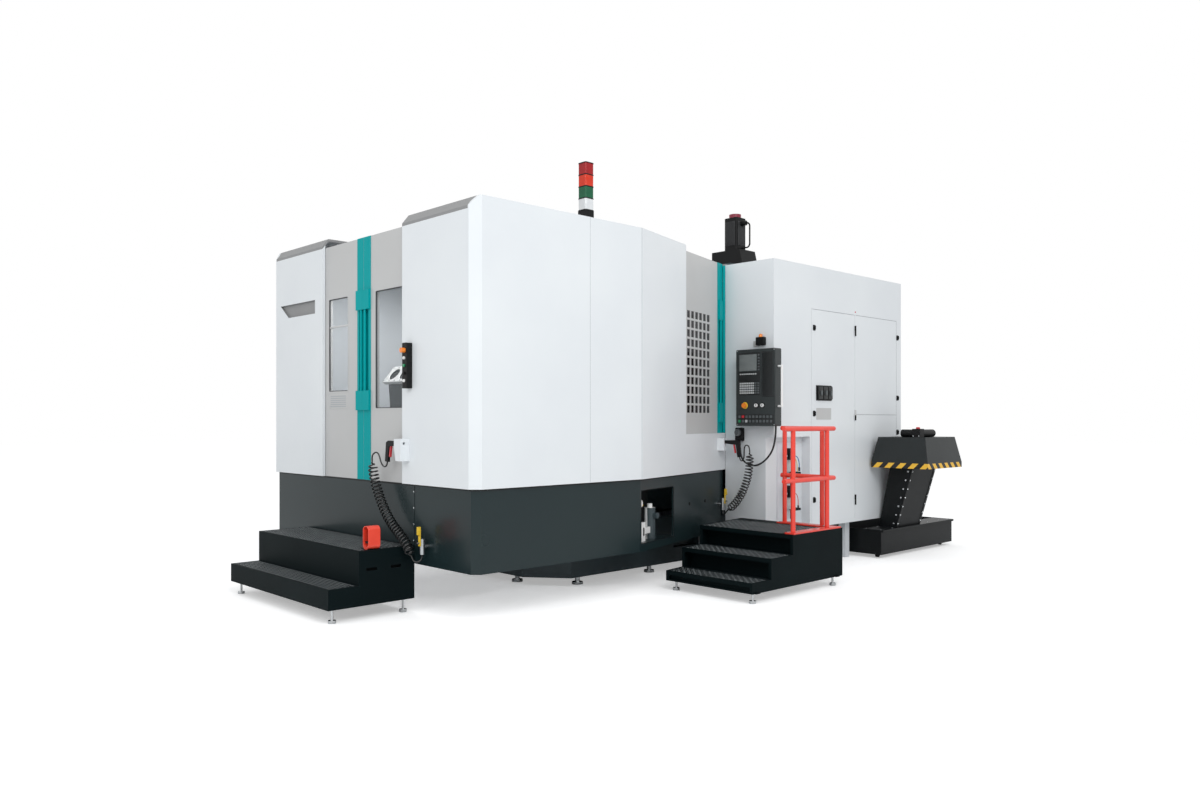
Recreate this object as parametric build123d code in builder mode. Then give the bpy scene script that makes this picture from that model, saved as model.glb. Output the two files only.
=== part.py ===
"""Horizontal machining centre with a two-pallet changer, in millimetres, Z up.

The origin is the floor point under the middle levelling foot of the bed. X runs to the right as seen from
the loading doors, and Y runs from the loading doors to the back of the machine.
"""

import math
import os

from build123d import *

os.makedirs("parts", exist_ok=True)

# Driving sizes of the enclosure
front_y = -4050.0  # outer face of the front covers
half_width = 1810.0  # centre line to the outer face of a side cover
corner_cut = 75.0  # leg of the bevel between the front and the side
fold_y = -2130.0  # where the side cover folds inwards
side_angle = 16.0  # how far it folds, in degrees
side_length = 1983.0  # length of the folded stretch
skirt_base = 415.0  # lower edge of the dark skirt
skirt_top = 1095.0  # lower edge of the white covers
front_top = 3350.0  # upper edge of the front covers
roof_top = 3430.0
rear_roof_top = 3383.0
sheet = 30.0  # folded depth of a cover panel
skirt_inset = 30.0  # the skirt stands back from the covers
skirt_sheet = 20.0
roof_sheet = 25.0
roof_slant = 65.0  # run of the sloped strip above the front covers

# Clearances shared by the whole machine
slide_gap = 4.0  # a sliding door to the cover in front of it
seat_gap = 0.5  # a moving piece to what it runs on
pane_gap = 0.2  # a pane to its frame
fit_gap = 0.4  # a screw to the hole it passes through
run_fit = 0.08  # a shaft or pin to its bore
overrun = 20.0  # how far a cut runs past the face it opens

# Front loading doors
door_left_edge = -700.0  # inner edge of the left front cover
door_right_edge = 755.0  # inner edge of the right front cover
door_seam = 50.0  # meeting line of the two leaves
door_top = 3335.0
door_depth = 40.0
door_lap = 40.0  # how far a leaf reaches behind the cover beside it
door_parting = 1.0  # half the gap between the leaves
stile = 118.0  # coloured meeting stile
window_high = 2820.0
left_window_x = -631.0
left_window_width = 376.0
left_window_low = 1919.0
right_window_x = 250.0
right_window_width = 490.0
right_window_low = 1750.0
pane = 10.0

# Door handles
handle_low = 1736.0
handle_high = 2847.0
handle_block = 181.0  # height of each end block
handle_reach = 24.0  # how far the blocks stand off the leaf
handle_bar = 11.0  # radius of the grip
channel_depth = 26.0  # hollow behind the grip, for the fingers
channel_reach = 50.0
channel_edge = 28.0

# Side door on the folded cover, measured along the fold
side_door_start = 943.0
side_door_end = 1975.0
side_panel = 953.0  # length of the full-height cover beside it
side_sill = 1500.0  # lower edge of the side door
side_stile = 135.0
grid_start = 1038.0
grid_width = 608.0
grid_low = 1710.0
grid_high = 2790.0
grid_columns = 6
grid_rows = 11
grid_cell_shares = (0.76, 0.78)  # open part of the pitch, across and up
grid_skin = 8.0

# Electrical cabinet on the right and tool cabinet on the left
cabinet_gap = 74.0  # bed to a cabinet's inner face
cabinet_lap = 105.0  # a cabinet stands out past the side covers
cabinet_outer = half_width + cabinet_lap
cabinet_front = -220.0
cabinet_back = 2510.0
cabinet_base = 440.0
cabinet_top = 3370.0
cabinet_wall = 30.0

# Machine inside the enclosure
bed_base = 80.0
bed_half = 950.0
bed_front = -2550.0
bed_step = 720.0  # where the wide rear of the bed starts
bed_back = 2400.0
bed_rear_half = 1190.0
cabinet_inner = bed_rear_half + cabinet_gap
bed_top = 600.0
bed_rear_top = 800.0
way_height = 80.0
table_y = -250.0  # rest place of the table
swing_y = -2250.0  # axis of the pallet changer
pallet_reach = 850.0  # swing axis to a pallet's centre
pallet_size = 1000.0
pallet_depth = 150.0
pallet_top = 1300.0
spindle_z = 1950.0
spindle_nose = 350.0  # front of the spindle
column_front = 760.0
column_back = 1900.0
column_half = 560.0
column_gap = 340.0  # half the space between its uprights
column_base = 1110.0
column_beam = 2960.0
column_top = 3600.0
screw_y = 1580.0  # vertical ball screw

# Steps and platform
step_left = -1020.0
step_right = 905.0
step_front = -4820.0
step_mid = -4548.0
step_back = front_y + skirt_inset  # the steps stand against the skirt
step_low = 285.0
step_high = 570.0
step_base = 118.0
plate = 12.0  # plate of steps and tank
deck_right = 2744.0
deck_front = -1703.0
deck_rises = ((-1703.0, -1417.0, 190.0), (-1417.0, -1076.0, 380.0), (-1076.0, cabinet_front, 570.0))
deck_left_front = 1713.0
deck_left_back = 1480.0
deck_base = 93.0
tread = 40.0
toe_depth = 130.0  # toe space under each tread, closed by a plate

turn = math.radians(side_angle)
along = (-math.sin(turn), math.cos(turn))
outward = (math.cos(turn), math.sin(turn))
bevel_share = math.tan(math.radians(22.5))
fold_share = math.tan(turn / 2)
side_plane = Plane(origin=(half_width, fold_y, 0), x_dir=(*along, 0), z_dir=(*outward, 0))


def block(low, high, mode=Mode.ADD):
    """Add or cut the box between two opposite corners."""
    sizes = [b - a for a, b in zip(low, high)]
    middle = tuple((a + b) / 2 for a, b in zip(low, high))
    with Locations(middle):
        Box(*sizes, mode=mode)


def prism(plane, points, depth, mode=Mode.ADD):
    """Add or cut a closed outline drawn on a plane and pushed along its normal."""
    with BuildSketch(plane) as outline:
        with BuildLine():
            Polyline(*points, close=True)
        make_face()
    extrude(outline.sketch, amount=depth, mode=mode)


def rod(start, axis, radius, length, mode=Mode.ADD):
    """Add or cut a cylinder that starts at a point and runs along an axis."""
    with Locations(Plane(origin=start, z_dir=axis)):
        Cylinder(radius, length, align=(Align.CENTER, Align.CENTER, Align.MIN), mode=mode)


def finish(piece, label):
    """Label a finished piece and write it."""
    piece.part.label = label
    export_step(piece.part, f"parts/{label}.step")


def rim(inset, side=1):
    """Plan corners of the enclosure, from the front bevel to the end of the folded stretch."""
    end = side_point(side_length, inset)
    corners = [
        (half_width - corner_cut - inset * bevel_share, front_y + inset),
        (half_width - inset, front_y + corner_cut + inset * bevel_share),
        (half_width - inset, fold_y - inset * fold_share),
        end,
    ]
    return [(side * x, y) for x, y in corners]


def side_point(distance, inset):
    """Plan point on the folded stretch, at a distance along it and an inset from its face."""
    return (
        half_width + along[0] * distance - outward[0] * inset,
        fold_y + along[1] * distance - outward[1] * inset,
    )


def wall(outer, inner, low, high):
    """Upright sheet between an outer and an inner plan path."""
    prism(Plane.XY.offset(low), [*outer, *reversed(inner)], high - low)


# Bed: T-shaped casting with box ways, chip trough, the pedestal of the pallet changer and the coolant outlet
way_half = 420.0
way_width = 150.0
trough_half = 250.0
trough_depth = 260.0
cross_ways = (980.0, 1640.0)  # front edges of the two cross ways
nose_half = 560.0
nose_run = 300.0
trough_back = 660.0
pedestal_radius = 240.0
pedestal_top = 1000.0
window_pitch = 1050.0
core_width = 420.0
core_height = 200.0
core_depth = 90.0
core_low = 240.0
spout_front = 1750.0
spout_back = 2250.0
spout_depth = 40.0
lug_width = 120.0
lug_height = 110.0
lug_low = 560.0
lug_places = (900.0, 2000.0)  # front edges of the lugs that carry the cabinets
spout_reach = 110.0
tank_left = bed_rear_half + spout_reach
tank_top = 340.0

with BuildPart() as bed:
    prism(
        Plane.XY.offset(bed_base),
        [
            (-nose_half, bed_front),
            (nose_half, bed_front),
            (bed_half, bed_front + nose_run),
            (bed_half, bed_step),
            (bed_rear_half, bed_step),
            (bed_rear_half, bed_back),
            (-bed_rear_half, bed_back),
            (-bed_rear_half, bed_step),
            (-bed_half, bed_step),
            (-bed_half, bed_front + nose_run),
        ],
        bed_top - bed_base,
    )
    block((-bed_rear_half, bed_step, bed_top), (bed_rear_half, bed_back, bed_rear_top))
    ways_front = swing_y + pedestal_radius + nose_run
    for side in (-1, 1):
        middle = side * way_half
        block(
            (middle - way_width / 2, ways_front, bed_top),
            (middle + way_width / 2, bed_step, bed_top + way_height),
        )
    for edge in cross_ways:
        block(
            (-bed_rear_half, edge, bed_rear_top),
            (bed_rear_half, edge + way_width, bed_rear_top + way_height),
        )
    block(
        (-trough_half, ways_front, bed_top - trough_depth),
        (trough_half, trough_back, bed_top + overrun),
        mode=Mode.SUBTRACT,
    )
    rod((0, swing_y, bed_top), (0, 0, 1), pedestal_radius, pedestal_top - bed_top)
    block(
        (bed_rear_half, spout_front, tank_top),
        (tank_left + plate, spout_back, tank_top + spout_depth),
    )
    for side in (-1, 1):
        for y in lug_places:
            block(
                (min(side * bed_rear_half, side * cabinet_inner), y, lug_low),
                (max(side * bed_rear_half, side * cabinet_inner), y + lug_width, lug_low + lug_height),
            )
    for side in (-1, 1):
        for row in (-1, 0, 1):
            low_y = row * window_pitch - core_width / 2 - window_pitch / 2
            face = side * bed_half
            block(
                (min(face, face - side * core_depth), low_y, core_low),
                (max(face, face - side * core_depth), low_y + core_width, core_low + core_height),
                mode=Mode.SUBTRACT,
            )
finish(bed, "bed")

# Levelling feet: jack bolts under the bed and screw feet under the steps and the platform
foot_pad = 55.0
foot_pad_height = 26.0
foot_stem = 24.0
bed_feet = [(x, y) for x in (-880.0, 880.0) for y in (-2105.0, -1055.0, -5.0, 1045.0, 2095.0)]
bed_feet += [(-350.0, -2450.0), (350.0, -2450.0), (0.0, 0.0), (0.0, 2095.0)]
step_foot_inset = 70.0
step_pad = 32.0
step_stem = 11.0
step_feet = [
    (x, y, step_base)
    for x in (step_left + step_foot_inset, step_right - step_foot_inset)
    for y in (step_front + step_foot_inset, step_back - step_foot_inset)
]
deck_feet = [(1790.0, -1640.0), (2700.0, -1640.0), (1560.0, -330.0), (2700.0, -330.0)]
step_feet += [(x, y, deck_base) for x, y in deck_feet]

with BuildPart() as levelling_feet:
    for x, y in bed_feet:
        rod((x, y, 0), (0, 0, 1), foot_pad, foot_pad_height)
        rod((x, y, foot_pad_height), (0, 0, 1), foot_stem, bed_base - foot_pad_height)
    for x, y, height in step_feet:
        rod((x, y, 0), (0, 0, 1), step_pad, foot_pad_height)
        rod((x, y, foot_pad_height), (0, 0, 1), step_stem, height - foot_pad_height)
finish(levelling_feet, "levelling_feet")

# Feed drives: ball screws and motors of the table and the column, on their bed blocks
feed_screw = 31.5
feed_motor = 110.0
feed_motor_length = 320.0
feed_block = 170.0
table_screw_z = 470.0
column_screw_z = 935.0
column_screw_y = 1470.0

with BuildPart() as feed_drives:
    motor_back = trough_back
    rod((0, ways_front, table_screw_z), (0, 1, 0), feed_screw, motor_back - ways_front)
    block(
        (-feed_motor, motor_back - feed_motor_length, bed_top - trough_depth),
        (feed_motor, motor_back, bed_top - trough_depth + feed_motor * 2),
    )
    block(
        (-feed_block / 2, ways_front, bed_top - trough_depth),
        (feed_block / 2, ways_front + feed_block / 2, bed_top - trough_depth + feed_block),
    )
    column_run = bed_rear_half - feed_motor_length
    rod((-column_run, column_screw_y, column_screw_z), (1, 0, 0), feed_screw, 2 * column_run)
    for side in (-1, 1):
        low_x = min(side * column_run, side * (bed_rear_half - feed_block))
        high_x = max(side * column_run, side * (bed_rear_half - feed_block))
        block(
            (low_x, column_screw_y - feed_block / 2, bed_rear_top),
            (high_x, column_screw_y + feed_block / 2, column_screw_z + feed_block / 2),
        )
finish(feed_drives, "feed_drives")

# Dark skirt round the front of the enclosure
skirt_seam = 905.0
skirt_parting = 8.0
sill_depth = 90.0
sill_sheet = 20.0
sill_inset = 310.0
sill_reach = half_width - sill_inset
skirt_back = skirt_inset + skirt_sheet
lube_start = 30.0
lube_end = 720.0
lube_low = 490.0
lube_high = 980.0
lube_shelf = 240.0
shelf_sheet = 15.0

with BuildPart() as skirt_front:
    left_end = rim(skirt_inset, -1)[0]
    left_back = rim(skirt_back, -1)[0]
    face = [left_end, (skirt_seam, left_end[1])]
    rear = [left_back, (skirt_seam, left_back[1])]
    wall(face, rear, skirt_base, skirt_top)
    block(
        (-sill_reach, front_y + skirt_back, skirt_top - sill_sheet),
        (skirt_seam, front_y + sill_depth, skirt_top),
    )
finish(skirt_front, "skirt_front")

with BuildPart() as skirt_right:
    start = skirt_seam + skirt_parting
    face = [(start, front_y + skirt_inset), *rim(skirt_inset)]
    rear = [(start, front_y + skirt_back), *rim(skirt_back)]
    wall(face, rear, skirt_base, skirt_top)
    block(
        (start, front_y + skirt_back, skirt_top - sill_sheet),
        (sill_reach, front_y + sill_depth, skirt_top),
    )
    opening = [(lube_start, lube_low), (lube_end, lube_low), (lube_end, lube_high), (lube_start, lube_high)]
    prism(side_plane.offset(-skirt_back - overrun), opening, skirt_sheet + 2 * overrun, mode=Mode.SUBTRACT)
    shelf = [side_point(lube_start, skirt_inset), side_point(lube_end, skirt_inset)]
    shelf_inset = skirt_back + lube_shelf
    shelf_rear = [side_point(lube_start, shelf_inset), side_point(lube_end, shelf_inset)]
    wall(shelf, shelf_rear, lube_low - shelf_sheet, lube_low)
finish(skirt_right, "skirt_right")

with BuildPart() as skirt_left:
    wall(rim(skirt_inset, -1), rim(skirt_back, -1), skirt_base, skirt_top)
finish(skirt_left, "skirt_left")


def slope_cut(low_x, high_x, drop):
    """Cut everything above the sloped strip of the roof, lowered by a drop."""
    rise_share = (roof_top - front_top) / roof_slant
    points = [
        (front_y - overrun, front_top - drop - overrun * rise_share),
        (front_y + roof_slant, roof_top - drop),
        (front_y + roof_slant, roof_top + overrun),
        (front_y - overrun, roof_top + overrun),
    ]
    prism(Plane.YZ.offset(low_x), points, high_x - low_x, mode=Mode.SUBTRACT)


# White covers. The two small holders carry the air guns.
holder_width = 100.0
holder_height = 190.0
holder_reach = 90.0
gun_bore = 12.5
front_gun_x = 770.0
front_gun_z = 1445.0
front_gun_out = 52.0  # gun axis in front of the cover
side_gun_at = 1800.0  # along the fold
side_gun_z = 1405.0
side_holder_reach = 75.0
side_holder_half = 32.0
rail_depth = 55.0
rail_sheet = 30.0
rail_start = 40.0

with BuildPart() as cover_front_right:
    face = [(door_right_edge, front_y), *rim(0)[:3]]
    rear = [(door_right_edge, front_y + sheet), *rim(sheet)[:3]]
    wall(face, rear, skirt_top, roof_top)
    slope_cut(door_right_edge - overrun, rim(sheet)[0][0], roof_sheet)
    slope_cut(rim(sheet)[0][0], half_width + overrun, 0)
    holder = [
        (front_gun_x, front_gun_z + holder_height / 5),
        (front_gun_x, front_gun_z - holder_height / 5),
        (front_gun_x + holder_width / 4, front_gun_z - holder_height * 4 / 5),
        (front_gun_x + holder_width, front_gun_z - holder_height * 4 / 5),
        (front_gun_x + holder_width, front_gun_z + holder_height / 5),
    ]
    prism(Plane.XZ.offset(-front_y), holder, holder_reach)
    rod(
        (front_gun_x - overrun, front_y - front_gun_out, front_gun_z),
        (1, 0, 0),
        gun_bore,
        holder_width + 2 * overrun,
        mode=Mode.SUBTRACT,
    )
finish(cover_front_right, "cover_front_right")

with BuildPart() as cover_side_right:
    edge_outer = side_point(side_panel, 0)
    edge_inner = side_point(side_panel, sheet)
    wall([rim(0)[2], edge_outer], [rim(sheet)[2], edge_inner], skirt_top, roof_top)
    wall([edge_outer, rim(0)[3]], [edge_inner, rim(sheet)[3]], skirt_top, side_sill)
    rail_in = sheet + rail_depth
    wall(
        [side_point(rail_start, sheet), rim(sheet)[3]],
        [side_point(rail_start, rail_in), rim(rail_in)[3]],
        side_sill - rail_sheet,
        side_sill,
    )
    cheek = [
        (side_gun_at - side_holder_half, side_gun_z - holder_height / 2),
        (side_gun_at + side_holder_half, side_gun_z - holder_height / 2),
        (side_gun_at + side_holder_half, side_gun_z + holder_height / 5),
        (side_gun_at - side_holder_half, side_gun_z + holder_height / 5),
    ]
    prism(side_plane, cheek, side_holder_reach)
    bore_start = (
        side_point(side_gun_at, -overrun / 2)[0],
        side_point(side_gun_at, -overrun / 2)[1],
        side_gun_z,
    )
    rod(bore_start, (*outward, 0), gun_bore, side_holder_reach, mode=Mode.SUBTRACT)
finish(cover_side_right, "cover_side_right")

# Shallow pocket high on the left cover
recess_left = -1625.0
recess_right = -856.0
recess_low = 2704.0
recess_high = 2838.0
recess_slant = 186.0
recess_depth = 22.0

with BuildPart() as cover_left:
    face = [(door_left_edge, front_y), *rim(0, -1)]
    rear = [(door_left_edge, front_y + sheet), *rim(sheet, -1)]
    wall(face, rear, skirt_top, roof_top)
    slope_cut(rim(sheet, -1)[0][0], door_left_edge + overrun, roof_sheet)
    slope_cut(-half_width - overrun, rim(sheet, -1)[0][0], 0)
    pocket = [
        (recess_left + recess_slant, recess_low),
        (recess_right, recess_low),
        (recess_right, recess_high),
        (recess_left, recess_high),
    ]
    pocket_plane = Plane.XZ.offset(-front_y - recess_depth)
    prism(pocket_plane, pocket, recess_depth + overrun, mode=Mode.SUBTRACT)
finish(cover_left, "cover_left")

# Roof: open above the loading doors, one step lower over the machining space
crane_back = -2600.0
roof_end = 690.0
roof_side_gap = 12.0

with BuildPart() as roof:
    step_y = side_point(side_panel, sheet)[1]
    left_step = (-side_point(side_panel, sheet)[0], step_y)
    plan = [
        (door_left_edge, front_y + roof_slant),
        (rim(sheet, -1)[1][0], front_y + roof_slant),
        rim(sheet, -1)[2],
        left_step,
        side_point(side_panel, sheet),
        rim(sheet)[2],
        (rim(sheet)[1][0], front_y + roof_slant),
        (door_right_edge, front_y + roof_slant),
        (door_right_edge, crane_back),
        (door_left_edge, crane_back),
    ]
    prism(Plane.XY.offset(roof_top - roof_sheet), plan, roof_sheet)
    strip = [
        (front_y, front_top),
        (front_y + roof_slant, roof_top),
        (front_y + roof_slant, roof_top - roof_sheet),
        (front_y, front_top - roof_sheet),
    ]
    reach = half_width - sheet
    prism(Plane.YZ.offset(door_right_edge), strip, reach - door_right_edge)
    prism(Plane.YZ.offset(-reach), strip, reach + door_left_edge)
    for side in (-1, 1):
        first, second = rim(sheet, side)[:2]
        past = side * (reach + overrun)
        corner = [first, second, (past, second[1]), (past, front_y - overrun), (first[0], front_y - overrun)]
        prism(Plane.XY.offset(front_top - overrun * 3), corner, overrun * 9, mode=Mode.SUBTRACT)
    inner = sheet + slide_gap + door_depth + roof_side_gap
    lower = [
        left_step,
        side_point(side_panel, inner),
        side_point(side_length, inner),
        (cabinet_inner, cabinet_front),
        (cabinet_inner, roof_end),
        (-cabinet_inner, roof_end),
        (-cabinet_inner, cabinet_front),
        (-side_point(side_length, sheet)[0], side_point(side_length, sheet)[1]),
    ]
    prism(Plane.XY.offset(rear_roof_top - roof_sheet), lower, roof_sheet)
    prism(
        Plane.XY.offset(rear_roof_top - roof_sheet),
        [lower[0], lower[1], (lower[1][0], step_y + roof_sheet), (lower[0][0] + sheet, step_y + roof_sheet)],
        roof_top - rear_roof_top + roof_sheet,
    )
finish(roof, "roof")

# Electrical cabinet with its hinged service door
niche_depth = 105.0
niche_back = 460.0
niche_top = 1460.0
service_front = 425.0
service_back = 1410.0
service_low = 480.0
service_high = 2890.0
service_gap = 4.0
service_depth = 30.0
hinge_out = 9.0  # hinge axis in front of the door's face
hinge_radius = 9.0
hinge_length = 60.0
hinge_heights = (640.0, 1640.0, 2640.0)
groove = 5.0
groove_depth = 4.0
groove_back = 2390.0
groove_low = 1710.0
leg = 90.0
leg_inset = 66.0
leg_outset = 215.0
leg_setback = 100.0
leg_rear = 1400.0
leg_places = [
    (x, y)
    for x in (cabinet_inner + leg_inset, cabinet_outer - leg_outset)
    for y in (cabinet_front + leg_setback, leg_rear)
]

with BuildPart() as cabinet_body:
    block((cabinet_inner, cabinet_front, cabinet_base), (cabinet_outer, cabinet_back, cabinet_top))
    niche_wall = cabinet_outer - niche_depth
    block(
        (niche_wall, cabinet_front - overrun, cabinet_base - overrun),
        (cabinet_outer + overrun, niche_back, niche_top),
        mode=Mode.SUBTRACT,
    )
    clear_low = cabinet_base + cabinet_wall
    clear_high = cabinet_top - cabinet_wall
    block(
        (cabinet_inner + cabinet_wall, cabinet_front + cabinet_wall, clear_low),
        (niche_wall - cabinet_wall, cabinet_back - cabinet_wall, clear_high),
        mode=Mode.SUBTRACT,
    )
    block(
        (niche_wall - cabinet_wall, niche_back + cabinet_wall, clear_low),
        (cabinet_outer - cabinet_wall, cabinet_back - cabinet_wall, clear_high),
        mode=Mode.SUBTRACT,
    )
    block(
        (cabinet_outer - cabinet_wall - overrun, service_front + cabinet_wall * 3, service_low),
        (cabinet_outer + overrun, service_back, service_high),
        mode=Mode.SUBTRACT,
    )
    block(
        (cabinet_outer - service_depth, niche_back + cabinet_wall, service_low),
        (cabinet_outer + overrun, service_back, service_high),
        mode=Mode.SUBTRACT,
    )
    for height in (groove_low, service_high):
        block(
            (cabinet_outer - groove_depth, service_back + groove * 4, height - groove),
            (cabinet_outer + overrun, groove_back, height),
            mode=Mode.SUBTRACT,
        )
    block(
        (cabinet_outer - groove_depth, groove_back, cabinet_base + cabinet_wall),
        (cabinet_outer + overrun, groove_back + groove, service_high),
        mode=Mode.SUBTRACT,
    )
    for x, y in leg_places:
        block((x, y, 0), (x + leg, y + leg, cabinet_base))
    for height in hinge_heights:
        axis_at = (cabinet_outer + hinge_out, service_back, height)
        rod(axis_at, (0, 0, 1), hinge_radius, hinge_length)
        block(
            (cabinet_outer, service_back, height),
            (cabinet_outer + hinge_out, service_back + hinge_radius, height + hinge_length),
        )
finish(cabinet_body, "cabinet_body")

breaker_front = 590.0
breaker_back = 890.0
breaker_low = 1870.0
breaker_high = 2030.0
breaker_depth = 16.0
nameplate_low = 1650.0
nameplate_high = 1780.0
nameplate_depth = 3.0

with BuildPart() as cabinet_door:
    door_face = cabinet_outer
    block(
        (cabinet_outer - service_depth, niche_back + cabinet_wall + service_gap, service_low + seat_gap),
        (door_face, service_back - service_gap, service_high - service_gap),
    )
    block((door_face, breaker_front, breaker_low), (door_face + breaker_depth, breaker_back, breaker_high))
    block(
        (door_face, breaker_front, nameplate_low),
        (door_face + nameplate_depth, breaker_back, nameplate_high),
    )
    for height in hinge_heights:
        low = height + hinge_length + seat_gap
        rod((cabinet_outer + hinge_out, service_back, low), (0, 0, 1), hinge_radius, hinge_length)
        block(
            (cabinet_outer - hinge_out, service_back - hinge_radius, low),
            (cabinet_outer + hinge_out, service_back - service_gap, low + hinge_length),
        )
finish(cabinet_door, "cabinet_door")

# Tool cabinet on the left with the tool disc inside
shutter_front = 0.0
shutter_back = 700.0
shutter_low = 1500.0
shutter_high = 2400.0

with BuildPart() as magazine_housing:
    block((-cabinet_outer, cabinet_front, cabinet_base), (-cabinet_inner, cabinet_back, cabinet_top))
    block(
        (-cabinet_outer + cabinet_wall, cabinet_front + cabinet_wall, cabinet_base + cabinet_wall),
        (-cabinet_inner - cabinet_wall, cabinet_back - cabinet_wall, cabinet_top - cabinet_wall),
        mode=Mode.SUBTRACT,
    )
    block(
        (-cabinet_inner - cabinet_wall - overrun, shutter_front, shutter_low),
        (-cabinet_inner + overrun, shutter_back, shutter_high),
        mode=Mode.SUBTRACT,
    )
    for x, y in leg_places:
        block((-x - leg, y, 0), (-x, y + leg, cabinet_base))
    disc_y = (cabinet_front + cabinet_back) / 2
    disc_z = (cabinet_base + cabinet_top) / 2
    axle = 60.0
    axle_length = 190.0
    rod((-cabinet_outer + cabinet_wall, disc_y, disc_z), (1, 0, 0), axle, axle_length)
finish(magazine_housing, "magazine_housing")

disc_radius = 1020.0
disc_depth = 60.0
disc_hub = 140.0
disc_rim = 820.0
pot_radius = 62.0
pot_length = 210.0
pot_count = 24
pot_ring = 950.0
spoke_half = 70.0

with BuildPart() as tool_magazine:
    disc_x = -cabinet_outer + cabinet_wall + overrun
    disc_plane = Plane(origin=(disc_x, disc_y, disc_z), x_dir=(0, 1, 0), z_dir=(1, 0, 0))
    with BuildSketch(disc_plane):
        Circle(disc_radius)
        Circle(disc_rim, mode=Mode.SUBTRACT)
        Circle(disc_hub)
        for angle in (0, 60, 120):
            Rectangle(2 * disc_rim + overrun, 2 * spoke_half, rotation=angle)
        Circle(axle + run_fit, mode=Mode.SUBTRACT)
    extrude(amount=disc_depth)
    with BuildSketch(disc_plane.offset(disc_depth)):
        with PolarLocations(pot_ring, pot_count):
            Circle(pot_radius)
    extrude(amount=pot_length)
finish(tool_magazine, "tool_magazine")

# Cover across the back between the two cabinets, with two rows of louvre slots
louvre_width = 500.0
louvre_height = 18.0
louvre_pitch = 60.0
louvre_count = 6
louvre_low = 2500.0
louvre_x = 600.0

with BuildPart() as rear_cover:
    block((-cabinet_inner, cabinet_back - sheet, cabinet_base), (cabinet_inner, cabinet_back, cabinet_top))
    for x in (-louvre_x, louvre_x):
        for row in range(louvre_count):
            low = louvre_low + row * louvre_pitch
            block(
                (x - louvre_width / 2, cabinet_back - sheet - overrun, low),
                (x + louvre_width / 2, cabinet_back + overrun, low + louvre_height),
                mode=Mode.SUBTRACT,
            )
finish(rear_cover, "rear_cover")


# Front loading doors with their panes
def leaf(low_x, high_x, opening, stile_low, grip_x, seam_side):
    """One loading door: leaf with a window, the raised stile and its bar handle over a hollow."""
    window_x, window_width, window_low = opening
    face = front_y + sheet + slide_gap
    block((low_x, face, skirt_top + seat_gap), (high_x, face + door_depth, door_top))
    block(
        (window_x, face - overrun, window_low),
        (window_x + window_width, face + door_depth + overrun, window_high),
        mode=Mode.SUBTRACT,
    )
    block((stile_low, face - stile_raise, skirt_top + seat_gap), (stile_low + stile, face, door_top))
    for low in (handle_low, handle_high - handle_block):
        block((stile_low, face - handle_reach, low), (stile_low + stile, face, low + handle_block))
    near = grip_x + seam_side * channel_edge
    far = grip_x - seam_side * channel_reach
    block(
        (min(near, far), face - overrun, handle_low + handle_block),
        (max(near, far), face + channel_depth, handle_high - handle_block),
        mode=Mode.SUBTRACT,
    )
    grip_y = face - handle_reach + handle_bar + grip_back
    grip_low = handle_low + handle_block / 2
    rod((grip_x, grip_y, grip_low), (0, 0, 1), handle_bar, handle_high - handle_low - handle_block)


stile_raise = 6.0
grip_back = 1.0
grip_inset = 34.0
left_opening = (left_window_x, left_window_width, left_window_low)
right_opening = (right_window_x, right_window_width, right_window_low)

with BuildPart() as front_door_left:
    leaf(
        door_left_edge - door_lap,
        door_seam - door_parting,
        left_opening,
        door_seam - door_parting - stile,
        door_seam - grip_inset,
        1,
    )
finish(front_door_left, "front_door_left")

with BuildPart() as front_door_right:
    leaf(
        door_seam + door_parting,
        door_right_edge + door_lap,
        right_opening,
        door_seam + door_parting,
        door_seam + grip_inset,
        -1,
    )
finish(front_door_right, "front_door_right")


def door_pane(opening):
    """Pane of a loading door, set in the middle of the leaf."""
    window_x, window_width, window_low = opening
    middle = front_y + sheet + slide_gap + door_depth / 2
    block(
        (window_x + pane_gap, middle - pane / 2, window_low + pane_gap),
        (window_x + window_width - pane_gap, middle + pane / 2, window_high - pane_gap),
    )


with BuildPart() as window_left:
    door_pane(left_opening)
finish(window_left, "window_left")

with BuildPart() as window_right:
    door_pane(right_opening)
finish(window_right, "window_right")

# Side door: perforated window field, raised stile and bar handle
side_grip_at = 1905.0
side_handle_low = 1620.0
side_handle_high = 2970.0
side_block = 215.0
side_block_half = 45.0
side_channel_half = 40.0

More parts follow.
